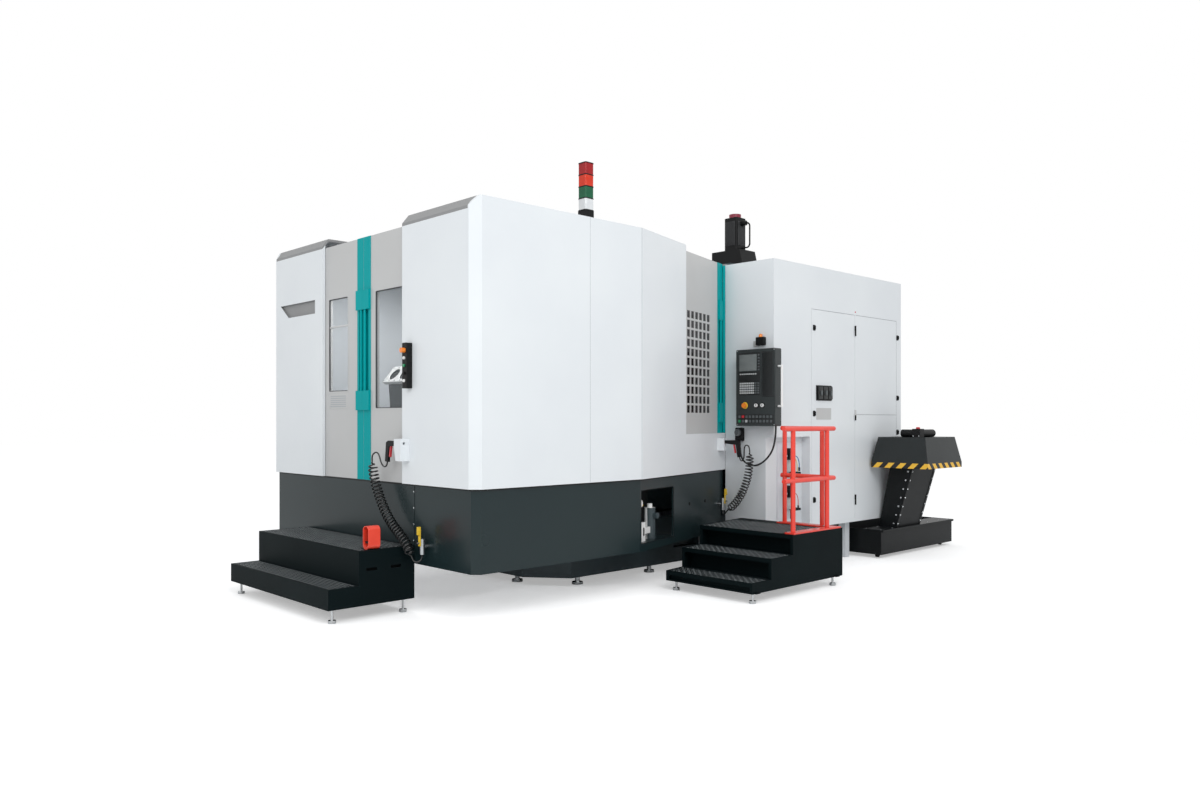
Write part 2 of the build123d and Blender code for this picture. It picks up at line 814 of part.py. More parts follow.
with BuildPart() as side_door:
    leaf_plane = side_plane.offset(-sheet - slide_gap - door_depth)
    low = side_sill + seat_gap
    outline = [
        (side_door_start, low),
        (side_door_end, low),
        (side_door_end, rear_roof_top),
        (side_door_start, rear_roof_top),
    ]
    prism(leaf_plane, outline, door_depth)
    field = [
        (grid_start, grid_low),
        (grid_start + grid_width, grid_low),
        (grid_start + grid_width, grid_high),
        (grid_start, grid_high),
    ]
    prism(leaf_plane.offset(-overrun), field, overrun + door_depth - grid_skin, mode=Mode.SUBTRACT)
    pitch_x = grid_width / grid_columns
    pitch_z = (grid_high - grid_low) / grid_rows
    with BuildSketch(leaf_plane.offset(door_depth - grid_skin - overrun)):
        with Locations((grid_start + grid_width / 2, (grid_low + grid_high) / 2)):
            with GridLocations(pitch_x, pitch_z, grid_columns, grid_rows):
                Rectangle(pitch_x * grid_cell_shares[0], pitch_z * grid_cell_shares[1])
    extrude(amount=grid_skin + 2 * overrun, mode=Mode.SUBTRACT)
    front_plane = leaf_plane.offset(door_depth)
    stile_start = side_door_end - side_stile
    prism(
        front_plane,
        [
            (stile_start, low),
            (side_door_end, low),
            (side_door_end, rear_roof_top),
            (stile_start, rear_roof_top),
        ],
        stile_raise,
    )
    for base in (side_handle_low, side_handle_high - side_block):
        block_outline = [
            (side_grip_at - side_block_half, base),
            (side_grip_at + side_block_half, base),
            (side_grip_at + side_block_half, base + side_block),
            (side_grip_at - side_block_half, base + side_block),
        ]
        prism(front_plane, block_outline, handle_reach)
    hollow = [
        (side_grip_at - side_channel_half, side_handle_low + side_block),
        (side_grip_at + side_channel_half, side_handle_low + side_block),
        (side_grip_at + side_channel_half, side_handle_high - side_block),
        (side_grip_at - side_channel_half, side_handle_high - side_block),
    ]
    hollow_plane = front_plane.offset(-channel_depth)
    prism(hollow_plane, hollow, channel_depth + overrun, mode=Mode.SUBTRACT)
    grip_inset_depth = sheet + slide_gap - handle_reach + handle_bar + grip_back
    grip_foot = side_point(side_grip_at, grip_inset_depth)
    rod(
        (*grip_foot, side_handle_low + side_block / 2),
        (0, 0, 1),
        handle_bar,
        side_handle_high - side_handle_low - side_block,
    )
finish(side_door, "side_door")

with BuildPart() as side_window:
    field = [
        (grid_start + pane_gap, grid_low + pane_gap),
        (grid_start + grid_width - pane_gap, grid_low + pane_gap),
        (grid_start + grid_width - pane_gap, grid_high - pane_gap),
        (grid_start + pane_gap, grid_high - pane_gap),
    ]
    prism(leaf_plane.offset(door_depth - grid_skin - pane_gap - pane), field, pane)
finish(side_window, "side_window")

# Column: portal on the cross ways, with the head between its uprights
nut_half = 90.0

with BuildPart() as column:
    foot = bed_rear_top + way_height + seat_gap
    block((-column_half, column_front, foot), (column_half, column_back, column_top))
    block(
        (-column_gap, column_front - overrun, column_base),
        (column_gap, column_back + overrun, column_beam),
        mode=Mode.SUBTRACT,
    )
    tunnel_half = feed_block / 2 + sheet / 2
    block(
        (-column_half - overrun, column_screw_y - tunnel_half, foot - overrun),
        (column_half + overrun, column_screw_y + tunnel_half, column_screw_z + tunnel_half),
        mode=Mode.SUBTRACT,
    )
    block(
        (-nut_half, column_screw_y - tunnel_half, foot),
        (nut_half, column_screw_y + tunnel_half, column_screw_z + tunnel_half),
    )
    rod(
        (-nut_half - overrun, column_screw_y, column_screw_z),
        (1, 0, 0),
        feed_screw + fit_gap,
        2 * nut_half + 2 * overrun,
        mode=Mode.SUBTRACT,
    )
    rod(
        (0, screw_y, column_beam - overrun),
        (0, 0, 1),
        feed_screw,
        column_top - column_beam + 2 * overrun,
        mode=Mode.SUBTRACT,
    )
finish(column, "column")

# Vertical drive on top of the column: bracket, motor with its red cap and cable loop, and the screw
bracket_half = 270.0
bracket_front = 1420.0
bracket_back = 1760.0
bracket_height = 311.0
bracket_top = column_top + bracket_height
bracket_arm = 90.0
motor_half = 104.0
motor_height = 445.0
motor_top = bracket_top + motor_height
cap_radius = 80.0
cap_rise = 54.0
motor_edge = 22.0
plug_radius = 34.0
plug_length = 80.0
loop_radius = 10.0
loop_drop = 330.0
loop_out = 100.0

with BuildPart() as y_drive:
    prism(
        Plane.XZ.offset(-bracket_back),
        [
            (-bracket_half, column_top),
            (bracket_half, column_top),
            (motor_half + bracket_arm, bracket_top),
            (-bracket_half, bracket_top),
        ],
        bracket_back - bracket_front,
    )
    with BuildSketch(Plane.XY.offset(bracket_top)):
        with Locations((0, screw_y)):
            RectangleRounded(2 * motor_half, 2 * motor_half, motor_edge)
    extrude(amount=motor_top - bracket_top)
    rod((0, screw_y, motor_top), (0, 0, 1), cap_radius, cap_rise)
    rod((motor_half, screw_y, motor_top - plug_length), (1, 0, 0), plug_radius, plug_length)
    loop_x = motor_half + plug_length / 2
    with BuildLine() as loop_path:
        FilletPolyline(
            (loop_x, screw_y, motor_top - plug_length),
            (loop_x + loop_out, screw_y, motor_top - plug_length),
            (loop_x + loop_out, screw_y, motor_top - plug_length - loop_drop),
            (motor_half - motor_edge, screw_y, motor_top - plug_length - loop_drop),
            radius=loop_out / 2,
        )
    with BuildSketch(Plane(origin=loop_path.line @ 0, z_dir=loop_path.line % 0)) as loop_section:
        Circle(loop_radius)
    sweep(sections=loop_section.sketch, path=loop_path.line)
    rod((0, screw_y, column_base), (0, 0, 1), feed_screw, column_top - column_base)
finish(y_drive, "y_drive")

# Spindle head and spindle
head_half = 330.0
head_front = 640.0
head_back = 1480.0
nose_radius = 165.0
nose_collar = 210.0
nose_collar_length = 90.0
quill_bore_length = 600.0
shaft_radius = 64.0
shaft_lip = 40.0
taper_mouth = 35.0
taper_end = 20.0
taper_length = 102.0
head_edge = 60.0

with BuildPart() as spindle_head:
    with BuildSketch(Plane.XZ.offset(-head_back)):
        with Locations((0, spindle_z)):
            RectangleRounded(2 * head_half, 2 * head_half, head_edge)
    extrude(amount=head_back - head_front)
    rod((0, head_front, spindle_z), (0, -1, 0), nose_collar, nose_collar_length)
    rod((0, head_front, spindle_z), (0, -1, 0), nose_radius, head_front - spindle_nose)
    rod(
        (0, spindle_nose - overrun, spindle_z),
        (0, 1, 0),
        shaft_radius + run_fit,
        quill_bore_length + overrun,
        mode=Mode.SUBTRACT,
    )
    block(
        (-nut_half, head_back, spindle_z - nut_half),
        (nut_half, screw_y + nut_half, spindle_z + nut_half),
    )
    rod(
        (0, screw_y, spindle_z - nut_half - overrun),
        (0, 0, 1),
        feed_screw + fit_gap,
        2 * nut_half + 2 * overrun,
        mode=Mode.SUBTRACT,
    )
finish(spindle_head, "spindle_head")

with BuildPart() as spindle:
    lip_y = spindle_nose - shaft_lip
    rod((0, lip_y, spindle_z), (0, 1, 0), shaft_radius, quill_bore_length + shaft_lip - fit_gap)
    with Locations(Plane(origin=(0, lip_y, spindle_z), z_dir=(0, 1, 0))):
        Cone(
            taper_mouth,
            taper_end,
            taper_length,
            align=(Align.CENTER, Align.CENTER, Align.MIN),
            mode=Mode.SUBTRACT,
        )
finish(spindle, "spindle")

# Table: saddle on the ways, rotary table and the pallet in the machining space
saddle_half = 620.0
saddle_length = 1160.0
saddle_top = 930.0
skirt_drop = 46.0
table_radius = 385.0
table_neck = 300.0
table_neck_height = 80.0
pallet_bottom = pallet_top - pallet_depth
pallet_corner = 90.0
tap_pitch = 800.0
tap_radius = 8.0
tap_depth = 60.0

with BuildPart() as saddle:
    slide_z = bed_top + way_height + seat_gap
    block(
        (-saddle_half, table_y - saddle_length / 2, slide_z),
        (saddle_half, table_y + saddle_length / 2, saddle_top),
    )
    for side in (-1, 1):
        edge = side * (way_half + way_width / 2 + seat_gap)
        block(
            (min(edge, side * saddle_half), table_y - saddle_length / 2, slide_z - skirt_drop),
            (max(edge, side * saddle_half), table_y + saddle_length / 2, slide_z),
        )
    block(
        (-nut_half, table_y - nut_half, table_screw_z - nut_half),
        (nut_half, table_y + nut_half, slide_z),
    )
    rod(
        (0, table_y - nut_half - overrun, table_screw_z),
        (0, 1, 0),
        feed_screw + fit_gap,
        2 * nut_half + 2 * overrun,
        mode=Mode.SUBTRACT,
    )
finish(saddle, "saddle")

with BuildPart() as rotary_table:
    rod((0, table_y, saddle_top + seat_gap), (0, 0, 1), table_neck, table_neck_height)
    rod(
        (0, table_y, saddle_top + table_neck_height),
        (0, 0, 1),
        table_radius,
        pallet_bottom - saddle_top - table_neck_height,
    )
finish(rotary_table, "rotary_table")


def pallet(middle_y, bottom):
    """Square pallet with cut corners and four tapped holes in its top."""
    with BuildSketch(Plane.XY.offset(bottom)) as pallet_plan:
        with Locations((0, middle_y)):
            Rectangle(pallet_size, pallet_size)
        chamfer(pallet_plan.vertices(), pallet_corner)
    extrude(pallet_plan.sketch, amount=pallet_depth)
    for x in (-tap_pitch / 2, tap_pitch / 2):
        for y in (-tap_pitch / 2, tap_pitch / 2):
            rod(
                (x, middle_y + y, bottom + pallet_depth - tap_depth),
                (0, 0, 1),
                tap_radius,
                tap_depth + overrun,
                mode=Mode.SUBTRACT,
            )


with BuildPart() as machine_pallet:
    pallet(table_y, pallet_bottom)
finish(machine_pallet, "machine_pallet")

# Pallet changer: double fork with the splash wall, and the loaded pallet in the loading space
arm_bottom = 1040.0
arm_top = 1140.0
arm_reach = 1300.0
tine_inner = 410.0
tine_outer = 490.0
hub_half = 220.0
hub_radius = 260.0
splash_half = 1400.0
splash_depth = 40.0
splash_top = 3000.0

with BuildPart() as changer_arm:
    block((-tine_outer, swing_y - hub_half, arm_bottom), (tine_outer, swing_y + hub_half, arm_top))
    for side in (-1, 1):
        block(
            (min(side * tine_inner, side * tine_outer), swing_y - arm_reach, arm_bottom),
            (max(side * tine_inner, side * tine_outer), swing_y + arm_reach, arm_top),
        )
    rod((0, swing_y, pedestal_top + seat_gap), (0, 0, 1), hub_radius, arm_bottom - pedestal_top - seat_gap)
    block(
        (-splash_half, swing_y - splash_depth / 2, arm_top),
        (splash_half, swing_y + splash_depth / 2, splash_top),
    )
finish(changer_arm, "changer_arm")

with BuildPart() as setup_pallet:
    pallet(swing_y - pallet_reach, arm_top)
finish(setup_pallet, "setup_pallet")

# Block being machined, on its fixture. The bores open in a sloped deck.
setup_top = arm_top + pallet_depth
fixture_left = -420.0
fixture_right = 380.0
fixture_foot = 70.0
fixture_high = 2010.0
fixture_flare = 80.0
fixture_front = -3480.0
fixture_back = -2740.0
deck_front_y = -3550.0
deck_rise = 170.0
deck_back_y = -2950.0
deck_side = 60.0
bore_count = 4
cylinder_bore = 55.0
bore_depth = 90.0
bore_pitch = 175.0

with BuildPart() as fixture:
    block(
        (fixture_left, fixture_front, setup_top),
        (fixture_right, fixture_back, setup_top + fixture_foot),
    )
    prism(
        Plane.XZ.offset(-fixture_back),
        [
            (fixture_left + fixture_flare, setup_top + fixture_foot),
            (fixture_right - fixture_flare, setup_top + fixture_foot),
            (fixture_right, fixture_high),
            (fixture_left, fixture_high),
        ],
        fixture_back - fixture_front,
    )
finish(fixture, "fixture")

with BuildPart() as workpiece:
    profile = [
        (deck_front_y, fixture_high),
        (deck_back_y, fixture_high),
        (deck_back_y, fixture_high + deck_rise),
        (deck_back_y - deck_side, fixture_high + deck_rise),
        (deck_front_y, fixture_high + deck_side),
    ]
    prism(Plane.YZ.offset(fixture_left), profile, fixture_right - fixture_left)
    slope_y = deck_back_y - deck_side - deck_front_y
    slope_z = deck_rise - deck_side
    slope = math.hypot(slope_y, slope_z)
    deck_middle = (deck_front_y + slope_y / 3, fixture_high + deck_side + slope_z / 3)
    bore_axis = (0, slope_z / slope, -slope_y / slope)
    for index in range(bore_count):
        x = (fixture_left + fixture_right) / 2 + (index - (bore_count - 1) / 2) * bore_pitch
        start = (
            x,
            deck_middle[0] - bore_axis[1] * overrun,
            deck_middle[1] - bore_axis[2] * overrun,
        )
        rod(start, bore_axis, cylinder_bore, bore_depth + overrun, mode=Mode.SUBTRACT)
finish(workpiece, "workpiece")

# Loading steps in front of the doors
slot_length = 100.0
slot_height = 25.0
slot_z = 400.0
slot_starts = (-4480.0, -4250.0)

with BuildPart() as front_step:
    prism(
        Plane.YZ.offset(step_left),
        [
            (step_front, step_base),
            (step_front, step_low),
            (step_mid, step_low),
            (step_mid, step_high),
            (step_back, step_high),
            (step_back, step_base),
        ],
        step_right - step_left,
    )
    prism(
        Plane.YZ.offset(step_left + plate),
        [
            (step_front + plate, step_base - overrun),
            (step_front + plate, step_low - plate),
            (step_mid + plate, step_low - plate),
            (step_mid + plate, step_high - plate),
            (step_back - plate, step_high - plate),
            (step_back - plate, step_base - overrun),
        ],
        step_right - step_left - 2 * plate,
        mode=Mode.SUBTRACT,
    )
    for start in slot_starts:
        block(
            (step_right - plate - overrun, start, slot_z),
            (step_right + overrun, start + slot_length, slot_z + slot_height),
            mode=Mode.SUBTRACT,
        )
    pad = 2 * step_pad
    for x, y, height in step_feet[:4]:
        block((x - pad, y - pad, step_base), (x + pad, y + pad, step_base + plate))
finish(front_step, "front_step")


# Operator platform beside the side door
def deck_left(y):
    """Left edge of the platform, which follows the folded cover."""
    share = (y - deck_front) / (deck_rises[-1][1] - deck_front)
    return deck_left_front + (deck_left_back - deck_left_front) * share


with BuildPart() as platform:
    stepped = [(deck_front, deck_base)]
    for front, back, height in deck_rises:
        stepped += [(front, height), (back, height)]
    stepped.append((deck_rises[-1][1], deck_base))
    prism(Plane.YZ.offset(deck_right - sheet), stepped, sheet)
    run_x = deck_left_back - deck_left_front
    run_y = deck_rises[-1][1] - deck_front
    run = math.hypot(run_x, run_y)
    left_plane = Plane(
        origin=(deck_left_front, deck_front, 0),
        x_dir=(run_x / run, run_y / run, 0),
        z_dir=(run_y / run, -run_x / run, 0),
    )
    prism(left_plane, [((y - deck_front) * run / run_y, z) for y, z in stepped], sheet)
    for front, back, height in deck_rises:
        reach_back = back if height == deck_rises[-1][2] else back + tread
        points = [
            (deck_left(front), front),
            (deck_right, front),
            (deck_right, reach_back),
            (deck_left(reach_back), reach_back),
        ]
        prism(Plane.XY.offset(height - tread), points, tread)
    for front, back, height in deck_rises:
        toe = front + toe_depth
        block((deck_left(toe), toe, deck_base), (deck_right, toe + plate, height - tread))
    pad = 2 * step_pad
    for x, y in deck_feet:
        block((x - pad, y - step_pad, deck_base), (x + pad, y + step_pad, deck_base + plate))
    for front in (deck_front, deck_rises[-1][1] - tread):
        block(
            (deck_left(front) - run_x / run, front, deck_base),
            (deck_right, front + tread, deck_base + plate),
        )
    deck_end = deck_rises[-1][1]
    block(
        (deck_left_back - sheet, deck_end, deck_base),
        (deck_right, deck_end + overrun, deck_rises[-1][2]),
        mode=Mode.SUBTRACT,
    )
finish(platform, "platform")

# Handrail on two sides of the platform
rail_radius = 23.0
rail_x = 2692.0
rail_y = -300.0
rail_top = 1560.0
rail_mid = 1070.0
rail_front = -1150.0
rail_rear_left = 2070.0
side_posts = (-1000.0, -420.0)
rear_posts = (2110.0, 2560.0)
base_half = 52.0
base_front = -1060.0
base_height = 14.0
deck_top = deck_rises[-1][2]

with BuildPart() as handrail:
    for y in side_posts:
        rod((rail_x, y, deck_top), (0, 0, 1), rail_radius, rail_top - deck_top)
    for x in rear_posts:
        rod((x, rail_y, deck_top), (0, 0, 1), rail_radius, rail_top - deck_top)
    block(
        (rail_x - base_half, base_front, deck_top),
        (rail_x + base_half, rail_y + base_half, deck_top + base_height),
    )
    block(
        (rail_rear_left - rail_radius, rail_y - base_half, deck_top),
        (rail_x + base_half, rail_y + base_half, deck_top + base_height),
    )
    for height in (rail_mid, rail_top):
        rod((rail_x, rail_front, height), (0, 1, 0), rail_radius, rail_y - rail_front)
        rod((rail_rear_left, rail_y, height), (1, 0, 0), rail_radius, rail_x - rail_rear_left)
        with Locations((rail_x, rail_y, height)):
            Sphere(rail_radius)
finish(handrail, "handrail")

# Foot switch on the upper loading step
hood_x = 850.0
hood_y = -4400.0
hood_half = 46.0
hood_height = 195.0
hood_depth = 110.0
hood_wall = 6.0
hood_crown = 40.0
switch_base = 24.0
pedal_half = 30.0
pedal_length = 70.0
pedal_thick = 14.0
pedal_axis_z = 58.0
pedal_pin = 7.0

with BuildPart() as foot_switch:
    hood_plane = Plane.XZ.offset(-hood_y - hood_depth / 2)
    with BuildSketch(hood_plane) as hood_face:
        with Locations((hood_x, step_high + hood_height / 2)):
            Rectangle(2 * hood_half, hood_height)
        fillet(hood_face.vertices().group_by(Axis.Z)[-1], hood_crown)
    extrude(amount=hood_depth)
    with BuildSketch(hood_plane.offset(hood_wall)) as hood_hole:
        with Locations((hood_x, step_high + switch_base + (hood_height - hood_wall - switch_base) / 2)):
            Rectangle(2 * (hood_half - hood_wall), hood_height - hood_wall - switch_base)
        fillet(hood_hole.vertices().group_by(Axis.Z)[-1], hood_crown - hood_wall)
    extrude(amount=hood_depth, mode=Mode.SUBTRACT)
    pin_y = hood_y + hood_depth / 2 - hood_wall - pedal_pin * 3
    rod(
        (hood_x - hood_half + hood_wall / 2, pin_y, step_high + pedal_axis_z),
        (1, 0, 0),
        pedal_pin,
        2 * hood_half - hood_wall,
    )
finish(foot_switch, "foot_switch")

with BuildPart() as foot_pedal:
    axis_z = step_high + pedal_axis_z
    half_thick = pedal_thick / 2
    prism(
        Plane.YZ.offset(hood_x - pedal_half),
        [
            (pin_y, axis_z - half_thick),
            (pin_y, axis_z + half_thick),
            (pin_y - pedal_length, axis_z + half_thick),
            (pin_y - pedal_length, axis_z - half_thick),
        ],
        2 * pedal_half,
    )
    rod((hood_x - pedal_half, pin_y, axis_z), (1, 0, 0), pedal_pin + half_thick, 2 * pedal_half)
    rod(
        (hood_x - pedal_half - overrun, pin_y, axis_z),
        (1, 0, 0),
        pedal_pin + run_fit,
        2 * pedal_half + 2 * overrun,
        mode=Mode.SUBTRACT,
    )
finish(foot_pedal, "foot_pedal")

# Coolant tank on rollers, riser, hood and drive of the chip conveyor
tank_right = 2150.0
tank_front = 1600.0
tank_back = 3420.0
tank_base = 45.0
tank_deck = 1900.0  # left edge of the closed deck that carries the riser
roller_radius = 28.0
roller_width = 34.0
roller_inset = 110.0
flange = 26.0

with BuildPart() as coolant_tank:
    block((tank_left, tank_front, tank_base), (tank_right, tank_back, tank_top))
    block(
        (tank_left + plate, tank_front + plate, tank_base + plate),
        (tank_deck, tank_back - plate, tank_top + overrun),
        mode=Mode.SUBTRACT,
    )
    block(
        (tank_deck - overrun, tank_front + plate, tank_base + plate),
        (tank_right - plate, tank_back - plate, tank_top - plate),
        mode=Mode.SUBTRACT,
    )
    block((tank_right, tank_front, tank_top - flange), (tank_right + flange, tank_back, tank_top))
    for x in (tank_left + roller_inset, tank_right - roller_inset):
        for y in (tank_front + roller_inset, tank_back - roller_inset):
            start = (x - roller_width / 2, y, roller_radius)
            rod(start, (1, 0, 0), roller_radius, roller_width)
finish(coolant_tank, "coolant_tank")

riser_front = 1960.0
riser_back = 2570.0
riser_low = (1920.0, 2140.0)
riser_high = (2066.0, 2356.0)
hood_base = 1075.0
band = 62.0
hood_top = 1440.0
hood_left = 1950.0
hood_right = 2670.0
hood_front = 1720.0
hood_back = 2590.0
hood_taper = 60.0
hood_sheet = 14.0

with BuildPart() as conveyor_riser:
    prism(
        Plane.XZ.offset(-riser_back),
        [
            (riser_low[0], tank_top),
            (riser_low[1], tank_top),
            (riser_high[1], hood_base),
            (riser_high[0], hood_base),
        ],
        riser_back - riser_front,
    )
finish(conveyor_riser, "conveyor_riser")


def hood_shape(inset, low, mode):
    """Straight band with a tapered cap above it, set in by an inset."""
    middle = ((hood_left + hood_right) / 2, (hood_front + hood_back) / 2)
    wide = hood_right - hood_left - 2 * inset
    deep = hood_back - hood_front - 2 * inset
    with BuildSketch(Plane.XY.offset(low)) as band_plan:
        with Locations(middle):
            Rectangle(wide, deep)
    extrude(band_plan.sketch, amount=hood_base + band - low, mode=mode)
    with BuildSketch(Plane.XY.offset(hood_base + band)) as cap_low:
        with Locations(middle):
            Rectangle(wide, deep)
    with BuildSketch(Plane.XY.offset(hood_top - inset)) as cap_high:
        with Locations(middle):
            Rectangle(wide - 2 * hood_taper, deep - 2 * hood_taper)
    loft(sections=[*cap_low.sketch.faces(), *cap_high.sketch.faces()], mode=mode)


with BuildPart() as conveyor_hood:
    hood_shape(0, hood_base, Mode.ADD)
    hood_shape(hood_sheet, hood_base - overrun, Mode.SUBTRACT)
    block(
        (hood_left, hood_front, hood_base),
        (riser_high[1] + hood_sheet, hood_back, hood_base + hood_sheet),
    )
finish(conveyor_hood, "conveyor_hood")

drive_length = 300.0
drive_x = 2420.0
drive_y = 1830.0
drive_box = 100.0
drive_cap = 46.0

with BuildPart() as conveyor_drive:
    block(
        (drive_x, drive_y, hood_top),
        (drive_x + drive_box, drive_y + drive_box, hood_top + drive_box),
    )
    rod(
        (drive_x, drive_y + drive_box / 2, hood_top + drive_cap),
        (-1, 0, 0),
        drive_cap,
        drive_length / 2,
    )
    rod(
        (drive_x + drive_box / 2, drive_y + drive_box, hood_top + drive_cap),
        (0, 1, 0),
        drive_cap,
        drive_length,
    )
finish(conveyor_drive, "conveyor_drive")

# Shut-off valves of the two air lines, with their lever handles
valve_radius = 22.0
valve_front_x = 1115.0
valve_front_out = 58.0  # valve axis in front of the skirt
valve_front_z = 520.0
valve_height = 130.0
valve_side_at = 1850.0
valve_side_z = 655.0
valve_stub = 14.0
lever_stem = 9.0
lever_stem_length = 26.0
lever_length = 135.0
lever_half = 13.0
lever_thick = 8.0
lever_bend = 16.0


def valve_place(index):
    """Axis point at the lower end of a valve, and the way out from the skirt."""
    if index == 0:
        return (valve_front_x, front_y + skirt_inset - valve_front_out, valve_front_z), (0, -1, 0)
    spot = side_point(valve_side_at, skirt_inset - valve_front_out)
    return (*spot, valve_side_z), (*outward, 0)


with BuildPart() as hose_valves:
    for index in range(2):
        spot, out = valve_place(index)
        rod(spot, (0, 0, 1), valve_radius, valve_height)
        middle = tuple(a - b * valve_front_out for a, b in zip(spot, out))
        rod((middle[0], middle[1], spot[2] + valve_height / 2), out, valve_stub, valve_front_out)
        stem_z = spot[2] + valve_height * 3 / 4
        rod((spot[0], spot[1], stem_z), out, lever_stem, valve_radius + lever_stem_length)
finish(hose_valves, "hose_valves")


def lever(index):
    """Lever on a valve's stem, upright while the valve is open."""
    spot, out = valve_place(index)
    stem_z = spot[2] + valve_height * 3 / 4
    side_way = (-out[1], out[0], 0)
    base = valve_radius + fit_gap
    origin = (spot[0] + out[0] * base, spot[1] + out[1] * base, stem_z)
    face = Plane(origin=origin, x_dir=side_way, z_dir=out)
    outline = [
        (-lever_half, -2 * lever_half),
        (lever_half, -2 * lever_half),
        (lever_half, lever_length),
        (-lever_half, lever_length),
    ]
    prism(face, outline, lever_thick)
    tip = [
        (-lever_half, lever_length / 2),
        (lever_half, lever_length / 2),
        (lever_half, lever_length),
        (-lever_half, lever_length),
    ]
    prism(face.offset(lever_thick), tip, lever_bend)
    rod(origin, out, lever_stem + run_fit, lever_thick + overrun, mode=Mode.SUBTRACT)


with BuildPart() as valve_lever_front:
    lever(0)
finish(valve_lever_front, "valve_lever_front")

with BuildPart() as valve_lever_side:
    lever(1)
finish(valve_lever_side, "valve_lever_side")

# Air guns hung by their nozzles in the holders, with their triggers
gun_half = 13.0
gun_nozzle = 12.1
gun_nozzle_length = 60.0
gun_barrel = ((2.0, 18.0), (140.0, 21.0), (172.0, 5.0))
gun_grip = ((190.0, -160.0), (148.0, -166.0), (128.0, -30.0), (2.0, -16.0))
gun_outline = gun_barrel + gun_grip
trigger_half = 9.0
trigger_top = ((98.0, -27.5), (112.0, -29.1))
trigger_tip = ((130.0, -116.0), (114.0, -122.0))
trigger_pivot = (105.0, -38.0)
trigger_pin = 4.0
pin_stub = 2.0
gun_tail = (169.0, -163.2)
gun_lead = (176.1, -212.5)  # the hose leaves the grip square to its end
front_gun_y = front_y - front_gun_out
side_gun_foot = (*side_point(side_gun_at, -side_holder_reach), side_gun_z)
gun_planes = (
    Plane(origin=(front_gun_x, front_gun_y, front_gun_z), x_dir=(-1, 0, 0), z_dir=(0, 1, 0)),
    Plane(origin=side_gun_foot, x_dir=(*outward, 0), z_dir=(outward[1], -outward[0], 0)),
)

with BuildPart() as air_guns:
    for place in gun_planes:
        prism(place.offset(-gun_half), gun_outline, 2 * gun_half)
        nozzle_start = place.origin + place.x_dir * gun_outline[0][0]
        rod(nozzle_start, -place.x_dir, gun_nozzle, gun_nozzle_length)
finish(air_guns, "air_guns")


def trigger(place):
    """Trigger under the barrel of an air gun."""
    prism(place.offset(-trigger_half), [*trigger_top, *trigger_tip], 2 * trigger_half)
    pin_half = trigger_half + pin_stub
    pin_end = place.from_local_coords((*trigger_pivot, -pin_half))
    rod(pin_end, place.z_dir, trigger_pin, 2 * pin_half)


with BuildPart() as gun_trigger_front:
    trigger(gun_planes[0])
finish(gun_trigger_front, "gun_trigger_front")

with BuildPart() as gun_trigger_side:
    trigger(gun_planes[1])
finish(gun_trigger_side, "gun_trigger_side")

# Coiled air hoses: each solid is the outer tube of the coil with its thin leads
coil_radius = 46.0
lead_radius = 7.0
cable_radius = 10.0
bend_share = 0.45


def bends(points):
    """Largest tangent radius at each inner point of a path that keeps the runs straight between."""
    radii = []
    for before, at, after in zip(points, points[1:], points[2:]):
        first = Vector(*at) - Vector(*before)
        second = Vector(*after) - Vector(*at)
        half_turn = math.radians(first.get_angle(second)) / 2
        radii.append(bend_share * min(first.length, second.length) / math.tan(half_turn))
    return radii


def tube(points, radius):
    """Round tube along straight runs joined by tangent arcs."""
    with BuildLine() as path:
        if len(points) > 2:
            FilletPolyline(*points, radius=bends(points))
        else:
            Polyline(*points)
    with BuildSketch(Plane(origin=path.line @ 0, z_dir=path.line % 0)) as section:
        Circle(radius)
    sweep(sections=section.sketch, path=path.line)


front_valve = valve_place(0)[0]
front_coil_y = -4135.0
front_gun_tail = gun_planes[0].from_local_coords((*gun_tail, 0))
front_gun_lead = gun_planes[0].from_local_coords((*gun_lead, 0))
front_coil = (
    (1040.0, front_coil_y, 500.0),
    (960.0, front_coil_y, 606.0),
    (852.0, front_coil_y, 674.0),
    (707.0, front_coil_y, 764.0),
    (600.0, front_coil_y, 870.0),
    (505.0, front_coil_y, 1000.0),
    (430.0, front_coil_y, 1140.0),
    (395.0, front_coil_y, 1280.0),
)
front_lead = (
    (395.0, front_coil_y, 1270.0),
    (400.0, front_coil_y, 1345.0),
    (470.0, -4115.0, 1370.0),
    (505.0, front_gun_y, 1240.0),
    tuple(front_gun_lead),
    tuple(front_gun_tail),
)
front_exit = (
    (front_valve[0], front_valve[1], front_valve[2]),
    (front_valve[0], front_valve[1], 470.0),
    (1085.0, front_coil_y, 450.0),
    (1030.0, front_coil_y, 510.0),
)

with BuildPart() as front_hose:
    tube(front_coil, coil_radius)
    tube(front_lead, lead_radius)
    tube(front_exit, lead_radius)
finish(front_hose, "front_hose")

side_valve = valve_place(1)[0]
side_coil_y = -400.0
side_gun_tail = gun_planes[1].from_local_coords((*gun_tail, 0))
side_gun_lead = gun_planes[1].from_local_coords((*gun_lead, 0))
side_coil = (
    (1435.0, side_coil_y, 665.0),
    (1520.0, side_coil_y, 720.0),
    (1600.0, side_coil_y, 810.0),
    (1665.0, side_coil_y, 920.0),
    (1715.0, side_coil_y, 1050.0),
    (1735.0, side_coil_y, 1190.0),
    (1735.0, side_coil_y, 1300.0),
)
side_lead = (
    (1735.0, side_coil_y, 1290.0),
    (1725.0, side_coil_y, 1375.0),
    (1640.0, -375.0, 1375.0),
    (1620.0, -345.0, 1215.0),
    tuple(side_gun_lead),
    tuple(side_gun_tail),
)
side_exit = (
    (side_valve[0], side_valve[1], side_valve[2]),
    (side_valve[0], side_valve[1], 600.0),
    (1390.0, side_coil_y, 610.0),
    (1445.0, side_coil_y, 672.0),
)

